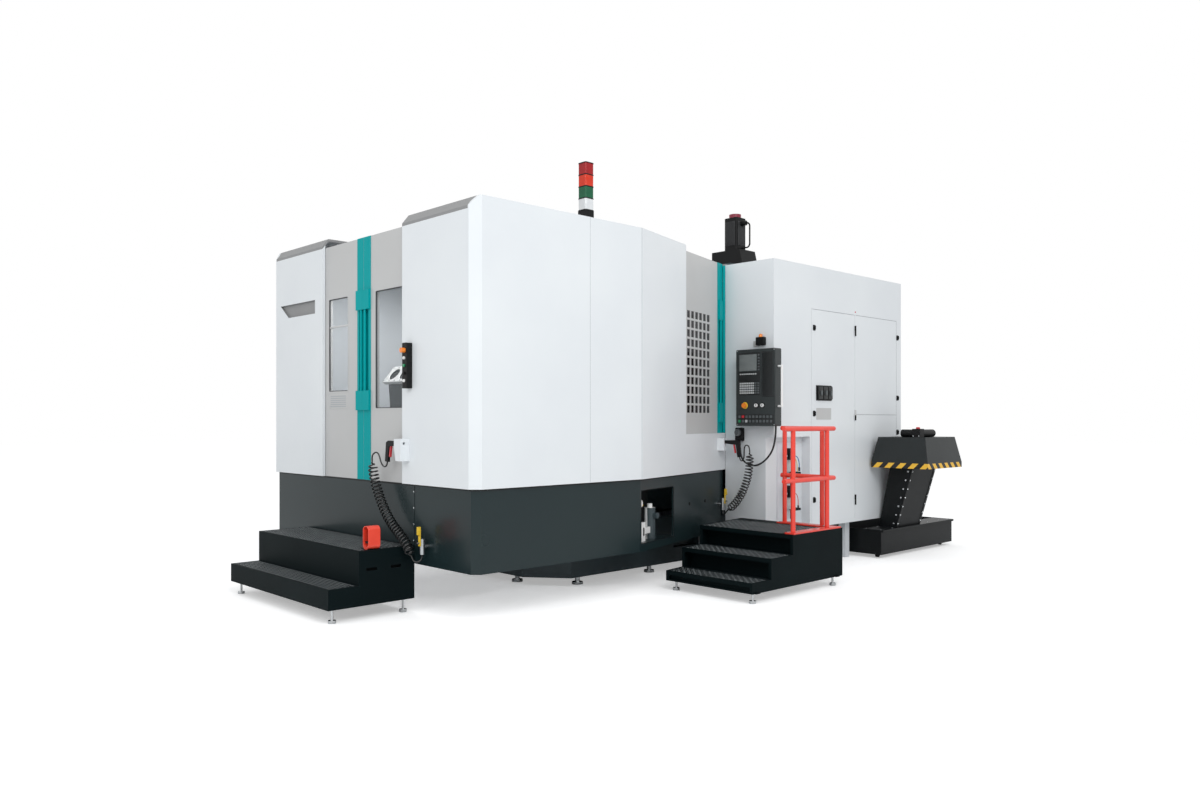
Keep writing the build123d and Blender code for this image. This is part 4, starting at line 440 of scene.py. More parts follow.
@dataclass(frozen=True)
class Face:
    """A flat face of the machine, with directions across, up and out."""

    origin: tuple[float, float, float]
    across: tuple[float, float, float]
    up: tuple[float, float, float] = (0.0, 0.0, 1.0)

    def put(self, shape: Shape, u: float = 0.0, v: float = 0.0, out: float = 0.0, turn: float = 0.0) -> Shape:
        """Place a flat-lying shape on the face.

        Args:
            shape: the shape, standing out along its third axis.
            u, v: where its middle goes, across and up.
            out: how far its base stands off the face.
            turn: turn about the way out, in degrees.

        Returns:
            The placed shape.
        """
        across, up = np.array(self.across, float), np.array(self.up, float)
        angle = math.radians(turn)
        first = math.cos(angle) * across + math.sin(angle) * up
        second = math.cos(angle) * up - math.sin(angle) * across
        axes = np.array([first, second, np.cross(across, up)])
        middle = np.array(self.origin, float) + u * across + v * up + out * axes[2]
        return Shape(middle + shape.points @ axes, shape.quads, shape.caps)

    def spread(self, shape: Shape, places: Iterable[tuple], out: float = 0.0) -> list[Shape]:
        """Place a copy of a shape at each place across and up."""
        return [self.put(shape, u, v, out) for u, v in places]


class Piece:
    """Shapes with their finishes that become one object of the scene."""

    def __init__(self, name: str) -> None:
        """Start an empty piece with the name of its object."""
        self.name = name
        self.parts: list[tuple[Shape, Finish]] = []

    def add(self, finish: Finish, *shapes: Shape) -> None:
        """Add shapes of one finish."""
        self.parts.append((joined(shapes), finish))

    def build(self, body: Body, slot: str, stands_for: Sequence[str] = ()) -> None:
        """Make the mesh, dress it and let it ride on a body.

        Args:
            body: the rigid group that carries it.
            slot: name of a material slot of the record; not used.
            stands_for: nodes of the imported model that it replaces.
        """
        whole = joined(shape for shape, _ in self.parts)
        faces = whole.quads.tolist() + [cap.tolist() for cap in whole.caps]
        finishes = list(dict.fromkeys(finish for _, finish in self.parts))
        order = [finishes.index(finish) for _, finish in self.parts]
        quads, caps = ([len(part) for part in kind] for kind in zip(*((s.quads, s.caps) for s, _ in self.parts)))
        worn = np.concatenate([np.repeat(order, quads), np.repeat(order, caps)])
        mesh = bpy.data.meshes.new(self.name)
        mesh.from_pydata(whole.points * MM, [], faces)
        for finish in finishes:
            mesh.materials.append(finish.material())
        mesh.polygons.foreach_set("material_index", worn.astype(np.int32))
        mesh.polygons.foreach_set("use_smooth", np.ones(len(faces), bool))
        mesh.set_sharp_from_angle(angle=SHARP_ANGLE)
        mesh.update()
        made = bpy.data.objects.new(self.name, mesh)
        bpy.context.scene.collection.objects.link(made)
        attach(made, body.value)
        if stands_for:
            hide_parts(*stands_for)
        LOG.info("%s: %d faces", self.name, len(faces))


def above(level: float) -> tuple[float, float]:
    """Limits of what lies past a level."""
    return level, math.inf


def below(level: float) -> tuple[float, float]:
    """Limits of what lies short of a level."""
    return -math.inf, level


def near(level: float, reach: float) -> tuple[float, float]:
    """Limits of what lies within reach of a level."""
    return level - reach, level + reach


@dataclass(frozen=True)
class Zone:
    """Room between limits along X, Y and Z, or along the across, out and up of a face.

    The limits of rise hold for the upward share of a normal.
    """

    x: tuple[float, float] = ANYWHERE
    y: tuple[float, float] = ANYWHERE
    z: tuple[float, float] = ANYWHERE
    rise: tuple[float, float] = ANYWHERE
    face: Face | None = None

    def holds(self, middles: np.ndarray, normals: np.ndarray) -> np.ndarray:
        """Say which faces of a mesh have their middle in the zone.

        Args:
            middles, normals: of the faces, in millimetres.

        Returns:
            One truth value for each face.
        """
        if self.face is not None:
            across, up = np.array(self.face.across, float), np.array(self.face.up, float)
            axes = np.array([across, np.cross(across, up), up])
            middles = (middles - np.array(self.face.origin, float)) @ axes.T
        values = np.column_stack([middles, normals[:, 2]])
        low, high = np.array([self.x, self.y, self.z, self.rise], float).T
        return np.all((values > low) & (values < high), axis=1)


def dress(node: str, finish: Finish, *rules: tuple[Zone, Finish]) -> None:
    """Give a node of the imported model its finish, and other finishes to the faces in some zones.

    Args:
        node: the node's name.
        finish: what most of it wears.
        rules: zones with the finish of the faces in them, of which a later one wins.
    """
    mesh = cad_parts[node].data
    middles, normals = np.empty(len(mesh.polygons) * 3), np.empty(len(mesh.polygons) * 3)
    mesh.polygons.foreach_get("center", middles)
    mesh.polygons.foreach_get("normal", normals)
    middles, normals = middles.reshape(-1, 3) / MM, normals.reshape(-1, 3)
    finishes = list(dict.fromkeys([finish, *(other for _, other in rules)]))
    worn = np.zeros(len(middles), np.int32)
    for zone, other in rules:
        worn[zone.holds(middles, normals)] = finishes.index(other)
    mesh.materials.clear()
    for each in finishes:
        mesh.materials.append(each.material())
    mesh.polygons.foreach_set("material_index", worn)


def box_of(node: str) -> tuple[np.ndarray, np.ndarray]:
    """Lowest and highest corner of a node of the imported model, in millimetres."""
    low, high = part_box(node)
    return np.array(low) / MM, np.array(high) / MM


def bolt(radius: float, height: float) -> Shape:
    """Hexagon head with a rounded crown on a washer."""
    washer = turned([(radius * 1.5, 0), (radius * 1.5, height * 0.15)], 16)
    head = turned([(radius, height * 0.15), (radius, height * 0.85), (radius * 0.8, height)], 6)
    return joined([washer, head])


def seam(face: Face, start: tuple, end: tuple, width: float = 4.0, out: float = 0.0) -> Shape:
    """Straight line between two panels: a thin strip from start to end on a face."""
    (u0, v0), (u1, v1) = start, end
    turn = math.degrees(math.atan2(v1 - v0, u1 - u0))
    strip = plate(math.hypot(u1 - u0, v1 - v0), width, 0.8, 0.5, 0.3)
    return face.put(strip, (u0 + u1) / 2, (v0 + v1) / 2, out, turn)


FOLD_ANGLE = math.radians(16.0)
FRONT_Y = box_of("button_box")[1][1]
SIDE_X = box_of("cover_front_right")[1][0]
CABINET_X = -box_of("magazine_housing")[0][0]
CABINET_Y = box_of("cabinet_body")[0][1]
FOLD_Y = -2130.0
FRONT = Face((0, FRONT_Y, 0), (1, 0, 0))
RIGHT = Face((SIDE_X, 0, 0), (0, 1, 0))
LEFT = Face((-SIDE_X, 0, 0), (0, -1, 0))
FOLD = Face((SIDE_X, FOLD_Y, 0), (-math.sin(FOLD_ANGLE), math.cos(FOLD_ANGLE), 0))
CABINET_FRONT = Face((0, CABINET_Y, 0), (1, 0, 0))
CABINET_SIDE = Face((CABINET_X, 0, 0), (0, 1, 0))
TOOL_SIDE = Face((-CABINET_X, 0, 0), (0, -1, 0))
BACK = Face((0, box_of("rear_cover")[1][1], 0), (-1, 0, 0))
FLOOR = Face((0, 0, 0), (1, 0, 0), (0, 1, 0))
PANEL_JOINTS = (480.0, 3340.0)  # lower and upper end of the joints on the cabinets and the back


@dataclass
class Enclosure:
    """Sheet-metal covers, skirt, roof and doors."""

    skirt_top: float = 1095.0
    skirt_inset: float = 30.0  # the skirt stands back from the covers
    skirt_corner: tuple = (1722.6, -4020.0)
    skirt_chamfer: float = 81.0
    skirt_fold: float = 1950.0
    skirt_gap: tuple = (12.0, 8.0)  # dark line along its top: width, and middle below the covers
    skirt_joint: tuple = (893.0, 470.0, 1030.0)  # place of the bolted joint, its lowest and highest bolt
    plug_radius: float = 18.5
    plug_places: tuple = ((1100.0, 780.0), (1500.0, 780.0))
    roof_top: float = 3430.0
    front_seam_y: float = -2800.0
    fold_seam: float = 12.0
    door_face: float = 34.0  # the leaves lie behind the front covers
    door_seam: float = 50.0
    hollow_reach: float = 92.0
    hollow_depth: float = 27.0
    hollow_half: float = 42.0
    front_hollow: tuple = (1916.0, 2667.0)
    side_hollow: tuple = (1834.0, 2756.0)
    side_grip: float = 1905.0
    recess_x: tuple = (-1630.0, -850.0)
    recess_z: tuple = (2700.0, 2842.0)
    recess_depth: float = 23.0
    bar_z: float = 2546.0
    vent_z: tuple = (1752.0, 1898.0)
    vent_rows: int = 6
    jamb_start: tuple = (1242.0, -236.5)
    jamb_end: tuple = (1263.0, -221.0)
    jamb_z: tuple = (1502.0, 3366.0)

    def build(self) -> None:
        """Coat the sheets, and fit their seams and trim."""
        self.dress_covers()
        self.dress_doors()
        self.build_seams()
        self.build_skirt()
        self.build_door_trim()
        self.build_jamb()

    def dress_covers(self) -> None:
        """Coat the covers, the skirt and the roof."""
        for node in ("cover_front_right", "cover_side_right", "rear_cover", "magazine_housing"):
            dress(node, WHITE_COAT)
        pocket = Zone(self.recess_x, (FRONT_Y + 0.5, FRONT_Y + self.recess_depth), self.recess_z)
        dress("cover_left", WHITE_COAT, (pocket, ROOF_COAT))
        for node in ("skirt_front", "skirt_right", "skirt_left"):
            dress(node, SKIRT_COAT)
        dress("roof", ROOF_COAT)

    def dress_doors(self) -> None:
        """Coat the leaves grey, and their stiles, handles and the hollows behind the grips teal."""
        face = FRONT_Y + self.door_face
        stile = Zone(y=below(face - 1))
        hollow = Zone(
            near(self.door_seam, self.hollow_reach), below(face + self.hollow_depth), self.front_hollow
        )
        for node in ("front_door_left", "front_door_right"):
            dress(node, GREY_COAT, (stile, TEAL_COAT), (hollow, TEAL_COAT))
        stile = Zone(y=above(1 - self.door_face), face=FOLD)
        floor = above(-self.door_face - self.hollow_depth)
        hollow = Zone(near(self.side_grip, self.hollow_half), floor, self.side_hollow, face=FOLD)
        dress("side_door", GREY_COAT, (stile, TEAL_COAT), (hollow, TEAL_COAT))
        dress("window_left", PANE)
        dress("window_right", PANE)
        dress("side_window", SMOKED_PANE)

    def build_seams(self) -> None:
        """Draw the upright lines between the panels of the covers."""
        piece = Piece("cover_seams")
        lines = ((RIGHT, self.front_seam_y, 3), (LEFT, -self.front_seam_y, 3), (RIGHT, FOLD_Y - self.fold_seam, 5))
        for face, u, width in lines:
            piece.add(SEAM_SHADE, seam(face, (u, self.skirt_top), (u, self.roof_top), width))
        piece.build(Body.MACHINE, "white_paint")

    def build_skirt(self) -> None:
        """Plug the skirt's holes, bolt its joint and draw the dark gap along its top."""
        piece = Piece("skirt_fittings")
        radius, out = self.plug_radius, -self.skirt_inset
        plug = turned([(radius, 0), (radius, 3), (radius * 0.8, 5)], 20)
        piece.add(BLACK_MOULDING, *FOLD.spread(plug, self.plug_places, out))
        x, low, high = self.skirt_joint
        piece.add(BRIGHT_STEEL, *FRONT.spread(bolt(5, 4), product([x], np.linspace(low, high, 5)), out))
        (x, y), half = self.skirt_corner, math.sqrt(0.5)
        runs = (
            (FRONT, -x, x, out),
            (Face((x, y, 0), (half, half, 0)), 0, self.skirt_chamfer, 0),
            (RIGHT, y + self.skirt_chamfer * half, FOLD_Y, out),
            (FOLD, 0, self.skirt_fold, out),
        )
        width, drop = self.skirt_gap
        z = self.skirt_top - drop
        piece.add(DARK_MARK_AND_SHADE, *[seam(face, (start, z), (end, z), width, depth) for face, start, end, depth in runs])
        piece.build(Body.MACHINE, "dark_paint")

    def build_door_trim(self) -> None:
        """Seal the panes, and put a bar and a slotted plate on the left leaf."""
        for body, pane in ((Body.LEFT_DOOR, "window_left"), (Body.RIGHT_DOOR, "window_right")):
            low, high = box_of(pane)
            width, _, height = high - low
            x, _, z = (low + high) / 2
            piece = Piece(f"{pane}_seal")
            frame_round = border(width + 24, height + 24, 14, 2, 14)
            piece.add(GREY_COAT, FRONT.put(frame_round, x, z, -self.door_face))
            lip = border(width + 2, height + 2, 10, 12, 8)
            piece.add(SEAL_RUBBER, FRONT.put(lip, x, z, -self.door_face - 14))
            if body is Body.LEFT_DOOR:
                self.add_vent(piece, x, width)
            piece.build(body, "grey_paint")

    def add_vent(self, piece: Piece, x: float, width: float) -> None:
        """Add the bar across the left window and the slotted plate under it."""
        low, high = self.vent_z
        piece.add(GREY_COAT, FRONT.put(plate(width, 18, 9, 2, 1), x, self.bar_z, -self.door_face - 13))
        sheet = plate(width, high - low, 1.6, 5, 0.6)
        piece.add(GREY_COAT, FRONT.put(sheet, x, (low + high) / 2, -self.door_face))
        rows = np.linspace(low + 24, high - 24, self.vent_rows)
        slot = plate(width - 70, 9, 0.5, 4, 0.2)
        piece.add(SEAM_SHADE, *FRONT.spread(slot, product([x], rows), 1.6 - self.door_face))

    def build_jamb(self) -> None:
        """Close the corner between the shut side door and the cabinet with a strip."""
        start, end = np.array(self.jamb_start), np.array(self.jamb_end)
        length = float(np.linalg.norm(end - start))
        corner = Face((*(start + end) / 2, 0), (*(end - start) / length, 0))
        low, high = self.jamb_z
        piece = Piece("side_jamb")
        piece.add(TEAL_COAT, corner.put(plate(length, high - low, 2.0, 1.0, 0.5), 0, (low + high) / 2))
        piece.build(Body.MACHINE, "grey_paint")


@dataclass
class LoadingBay:
    """What shows through the loading doors: the splash wall, the pallet and the work on it."""

    splash_y: float = -2270.0
    splash_z: tuple = (1145.0, 3000.0)
    seam_x: float = 640.0
    bolt_reach: float = 30.0
    bolt_rows: int = 12
    deck_foot: float = 12.0  # lower edge of the sloped deck above the fixture
    deck_run: float = 135.0
    deck_depth: float = 34.0
    deck_hole: tuple = (8.0, 16.0)  # radius of a bolt hole, painted as a near-black disc of shade, and how far it lies from the edge
    back_drop: float = 20.0
    bore: float = 68.0
    bore_pitch: float = 190.0
    bores: int = 4

    def build(self) -> None:
        """Dress the changer and its load, and bolt pale panels to the splash wall."""
        low, high = self.splash_z
        dress("changer_arm", CASTING, (Zone(z=above(low - 3)), BAY_COAT))
        for node in ("setup_pallet", "machine_pallet", "rotary_table"):
            dress(node, GROUND_IRON)
        dress("fixture", DARK_CASTING)
        wall = Face((0, self.splash_y, 0), (1, 0, 0))
        joints = (-self.seam_x, self.seam_x)
        piece = Piece("splash_wall_joint")
        strip = plate(90, high - low, 5, 2, 1)
        piece.add(BAY_COAT, *wall.spread(strip, product(joints, [(low + high) / 2])))
        columns = [x + reach for x in joints for reach in (-self.bolt_reach, self.bolt_reach)]
        rows = np.linspace(low + 90, high - 90, self.bolt_rows)
        piece.add(STEEL, *wall.spread(bolt(9, 7), product(columns, rows), 5))
        piece.build(Body.CHANGER, "casting")
        self.build_block()

    def cell(self, length: float) -> Shape:
        """One stretch of the deck: rings that go from a square to a chamfered circle and down the bore."""
        corners = np.array([(1, -1), (1, 1), (-1, 1), (-1, -1)]) * (self.bore_pitch / 2, length / 2)
        square = np.linspace(corners, np.roll(corners, -1, axis=0), 8, endpoint=False, axis=1).reshape(-1, 2)
        circle = square / np.linalg.norm(square, axis=1, keepdims=True)
        levels = (
            (square, -self.deck_depth),
            (square, 0.0),
            (circle * (self.bore + 4), 0.0),
            (circle * self.bore, -4.0),
            (circle * self.bore, 6.0 - self.deck_depth),
        )
        return skin(np.array([raised(ring, level) for ring, level in levels]))

    def build_block(self) -> None:
        """Cast the block: a wedge with a row of bores in its sloped deck, with painted shade in near black inside the
        bores and as discs for the bolt holes.
        """
        low, high = box_of("workpiece")
        width = high[0] - low[0]
        rise = high[2] - low[2] - self.deck_foot
        length = math.hypot(self.deck_run, rise)
        slope = (0.0, self.deck_run / length, rise / length)
        deck = Face(((low[0] + high[0]) / 2, low[1], low[2] + self.deck_foot), (1, 0, 0), slope)
        columns = (np.arange(self.bores) - (self.bores - 1) / 2) * self.bore_pitch
        places = [(u, length / 2) for u in columns]
        piece = Piece("machined_block")
        piece.add(WORK_ALLOY, *deck.spread(self.cell(length), places))
        margin = (width - self.bores * self.bore_pitch) / 2
        edge = (width - margin) / 2
        side = plate(margin, length, self.deck_depth, 1.0, 1.0)
        piece.add(WORK_ALLOY, *deck.spread(side, product((-edge, edge), [length / 2]), -self.deck_depth))
        # Painted shade: a near-black sleeve inside each bore darkens it where shade falls
        bore_shade_sleeve = turned([(self.bore - 1, 7 - self.deck_depth), (self.bore - 1, -5)])
        bore_shade_sleeve.caps = bore_shade_sleeve.caps[:1]
        piece.add(DARK_MARK_AND_SHADE, *deck.spread(bore_shade_sleeve, places))
        # Painted shade: the bolt holes are near-black discs on the deck, not cut into it
        radius, inset = self.deck_hole
        holes = product(np.linspace(-edge, edge, self.bores * 2 + 1), (inset, length - inset))
        piece.add(DARK_MARK_AND_SHADE, *deck.spread(turned([(radius, 0), (radius, 0.6)], 12), holes))
        front, top = low[1] + self.deck_depth * rise / length, high[2] - self.back_drop
        profile = [(front, low[2]), (high[1], low[2]), (high[1], top), (front + self.deck_run, top)]
        piece.add(WORK_ALLOY, Face((low[0], 0, 0), (0, 1, 0)).put(slab(profile, width)))
        piece.build(Body.CHANGER, "work_metal", ["workpiece"])


@dataclass
class Workings:
    """Bed, column, head and table inside the enclosure."""

    guide_low: float = 600.0

    def build(self) -> None:
        """Dress the castings and the ground or turned pieces."""
        for node in ("bed", "column", "spindle_head", "saddle"):
            dress(node, CASTING, (Zone(z=above(self.guide_low), rise=above(0.99)), GROUND_IRON))
        for node in ("spindle", "feed_drives", "tool_magazine"):
            dress(node, STEEL)
        dress("levelling_feet", BRIGHT_STEEL)


@dataclass
class FrontFittings:
    """Button box, blow guns and shut-off valves."""

    box_depth: float = 55.0
    button_first: float = 1981.0
    button_pitch: float = 65.0

    def build(self) -> None:
        """Dress the fittings; the buttons take their colours by their height."""
        proud = below(FRONT_Y - self.box_depth - 1)
        rules = []
        for place, colour in enumerate((WHITE_MOULDING, BLACK_MOULDING, GREEN, WHITE_MOULDING, ORANGE)):
            height = self.button_first + place * self.button_pitch
            rules.append((Zone(y=proud, z=near(height, self.button_pitch / 2)), colour))
        dress("button_box", BLACK_MOULDING, *rules)
        dress("air_guns", BLACK_MOULDING)
        dress("hose_valves", STEEL)
        for place in ("front", "side"):
            dress(f"valve_lever_{place}", YELLOW)
            dress(f"gun_trigger_{place}", RED)


@dataclass
class CoiledHose:
    """Air hose that hangs as a spring between a valve and a blow gun."""

    node: str
    start: tuple
    coil: tuple
    lead: tuple
    radius: float = 7.0
    coil_radius: float = 38.5
    pitch: float = 34.0
    ramp: float = 60.0
    turn_points: int = 16
    lead_step: float = 14.0
    lead_points: int = 6  # fewest on a lead

    def path(self) -> np.ndarray:
        """Wind a helix round the middle of the route.

        The radius grows from nothing over the ramp at each end of the coil, and the angle grows by a full turn
        for each pitch of the route's length.

        Returns:
            Points of the hose's line, in millimetres.
        """
        line = curve_points(self.start + self.coil + self.lead)
        run = np.concatenate([[0], np.cumsum(np.linalg.norm(np.diff(line, axis=0), axis=1))])
        first, last = (
            run[np.argmin(np.linalg.norm(line - np.array(self.coil[end]), axis=1))] for end in (0, -1)
        )
        turns = round((last - first) / self.pitch)
        wound = np.linspace(first, last, turns * self.turn_points + 1)
        counts = [max(int(lead / self.lead_step), self.lead_points) for lead in (first, run[-1] - last)]
        before = np.linspace(0, first, counts[0], endpoint=False)
        after = np.linspace(last, run[-1], counts[1])[1:]
        place = np.concatenate([before, wound, after])
        middle = np.column_stack([np.interp(place, run, line[:, axis]) for axis in range(3)])
        tangent = np.gradient(middle, axis=0)
        tangent /= np.linalg.norm(tangent, axis=1)[:, None]
        side = np.cross((0.0, 1.0, 0.0), tangent)
        side /= np.maximum(np.linalg.norm(side, axis=1), 0.2)[:, None]
        other = np.cross(tangent, side)
        grown = np.clip(np.minimum(place - first, last - place) / self.ramp, 0, 1)
        reach = self.coil_radius * grown * grown * (3 - 2 * grown)
        angle = 2 * math.pi * turns * (place - first) / (last - first)
        return middle + reach[:, None] * (np.cos(angle)[:, None] * side + np.sin(angle)[:, None] * other)

    def build(self) -> None:
        """Lay the hose in place of its outer tube."""
        lay_cord(self.node, self.path(), self.radius, HOSE_SKIN)


MANY_POINTS = 60  # a line with more is smooth by its own points


def curve_data(name: str, points: Sequence[Sequence[float]]) -> bpy.types.Curve:
    """Smooth line that starts at the first point and ends at the last.

    Args:
        name: of the data block.
        points: in millimetres.

    Returns:
        The curve, without thickness.
    """
    data = bpy.data.curves.new(name, "CURVE")
    data.dimensions = "3D"
    line = data.splines.new("NURBS")
    spots = np.asarray(points, float) * MM
    line.points.add(len(spots) - 1)
    line.points.foreach_set("co", np.column_stack([spots, np.ones(len(spots))]).ravel())
    line.order_u = 3
    line.use_endpoint_u = True
    return data


def curve_points(points: Sequence[Sequence[float]]) -> np.ndarray:
    """Points in millimetres along the smooth line through a route."""
    data = curve_data("route", points)
    data.resolution_u = 24
    holder = bpy.data.objects.new("route", data)
    mesh = bpy.data.meshes.new_from_object(holder)
    spots = np.empty(len(mesh.vertices) * 3)
    mesh.vertices.foreach_get("co", spots)
    bpy.data.meshes.remove(mesh)
    bpy.data.objects.remove(holder)
    bpy.data.curves.remove(data)
    return spots.reshape(-1, 3) / MM


def lay_cord(node: str, points: Sequence[Sequence[float]], radius: float, finish: Finish) -> None:
    """Lay a free cord that goes from the object back to the object.

    Args:
        node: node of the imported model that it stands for.
        points: its line, in millimetres.
        radius: of its skin.
        finish: of its skin.
    """
    drawn = curve_points(points)
    data = curve_data(f"{node}_line", points)
    data.bevel_depth = radius * MM
    data.bevel_resolution = 2
    data.use_fill_caps = True
    data.resolution_u = 2 if len(points) > MANY_POINTS else 12
    data.materials.append(finish.material())
    made = bpy.data.objects.new(f"{node}_line", data)
    bpy.context.scene.collection.objects.link(made)
    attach(made, Body.MACHINE.value)
    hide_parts(node)


@dataclass
class Steps:
    """Loading steps, operator platform, handrail and foot switch."""

    stud_length: float = 30.0
    stud_width: float = 9.0
    stud_height: float = 1.8
    stud_pitch: float = 34.0
    stud_margin: float = 20.0
    step_treads: tuple = ((285.0, -4800.0, -4568.0), (570.0, -4530.0, -4040.0))
    deck_treads: tuple = ((190.0, -1690.0, -1430.0), (380.0, -1404.0, -1090.0), (570.0, -1062.0, -400.0))
    deck_left: tuple = ((-1703.0, -220.0), (1753.0, 1520.0))  # slanted end of the studs: y, then x
    deck_clear: tuple = ((2590.0, -1060.0, math.inf, math.inf), (2010.0, -410.0, math.inf, math.inf))
    kick_y: float = -1668.0  # plate that closes the space under the lowest tread
    kick_x: tuple = (1745.0, 2712.0)
    kick_z: tuple = (101.0, 151.0)
    rail_strip: float = 584.0  # top of the strips that carry the posts
    rail_bolts: tuple = (2658.0, -1035.0, -390.0)
    rear_bolts: tuple = (-335.0, 2075.0, 2600.0)

    def studs(self, tread: tuple, low: float, high: float, clear: Sequence, left: tuple | None = None) -> Shape:
        """Lens-shaped studs in a chequer, turned one way and the other by the parity of row and column.

        Args:
            tread: its height, front and back.
            low, high: its left and right end.
            clear: rectangles without studs, as low x, low y, high x and high y.
            left: y and x of the two ends of a slanted left edge.

        Returns:
            All the studs of the tread.
        """
        level, front, back = tread
        pitch, long, wide = self.stud_pitch, self.stud_length / 2, self.stud_width / 2
        half = [(long, 0), (long / 3, wide), (-long / 3, wide)]
        outline = np.array(half + [(-u, -v) for u, v in half])
        stud = skin(np.array([raised(outline, 0.0), raised(outline * 0.7, self.stud_height)]))
        columns = np.arange(low + pitch / 2, high - pitch / 4, pitch)
        rows = np.arange(front + pitch / 2, back - pitch / 4, pitch)
        x, y = (a.ravel() for a in np.meshgrid(columns, rows))
        i, j = (a.ravel() for a in np.meshgrid(np.arange(len(columns)), np.arange(len(rows))))
        stands = np.ones(len(x), bool) if left is None else x > np.interp(y, *left)
        for x0, y0, x1, y1 in clear:
            stands &= ~((x > x0) & (x < x1) & (y > y0) & (y < y1))
        middles = raised(np.column_stack([x, y]), level)
        return joined(
            FLOOR.put(stud, turn=turn).tiled(middles[stands & ((i + j) % 2 == parity)])
            for parity, turn in ((0, 45), (1, -45))
        )

    def build(self) -> None:
        """Dress the steps and stud their treads."""
        for node in ("front_step", "platform"):
            dress(node, STEP_COAT, (Zone(rise=above(0.9)), TREAD_STEEL))
        dress("handrail", RAIL_COAT)
        dress("foot_switch", PEDAL_COAT)
        dress("foot_pedal", BLACK_MOULDING)
        margin = self.stud_margin
        low, high = box_of("front_step")
        switch_low, switch_high = box_of("foot_switch")
        clear = ((*(switch_low[:2] - margin), *(switch_high[:2] + margin)),)
        piece = Piece("step_studs")
        for tread in self.step_treads:
            piece.add(LOZENGE_STEEL, self.studs(tread, low[0] + margin, high[0] - margin, clear))
        piece.build(Body.MACHINE, "step_paint")
        low, high = box_of("platform")
        piece = Piece("platform_studs")
        for tread in self.deck_treads:
            studs = self.studs(tread, low[0] + margin, high[0] - margin, self.deck_clear, self.deck_left)
            piece.add(LOZENGE_STEEL, studs)
        (left, right), (foot, top) = self.kick_x, self.kick_z
        kick = Face((0, self.kick_y, 0), (1, 0, 0))
        piece.add(STEP_COAT, kick.put(plate(right - left, top - foot, 4, 1, 1), (left + right) / 2, (foot + top) / 2))
        piece.build(Body.MACHINE, "step_paint")
        piece = Piece("rail_bolts")
        x, front, back = self.rail_bolts
        y, left, right = self.rear_bolts
        spots = [*product([x], np.linspace(front, back, 5)), *product(np.linspace(left, right, 4), [y])]
        piece.add(STEEL, *FLOOR.spread(bolt(7, 7), spots, self.rail_strip))
        piece.build(Body.MACHINE, "red_paint")


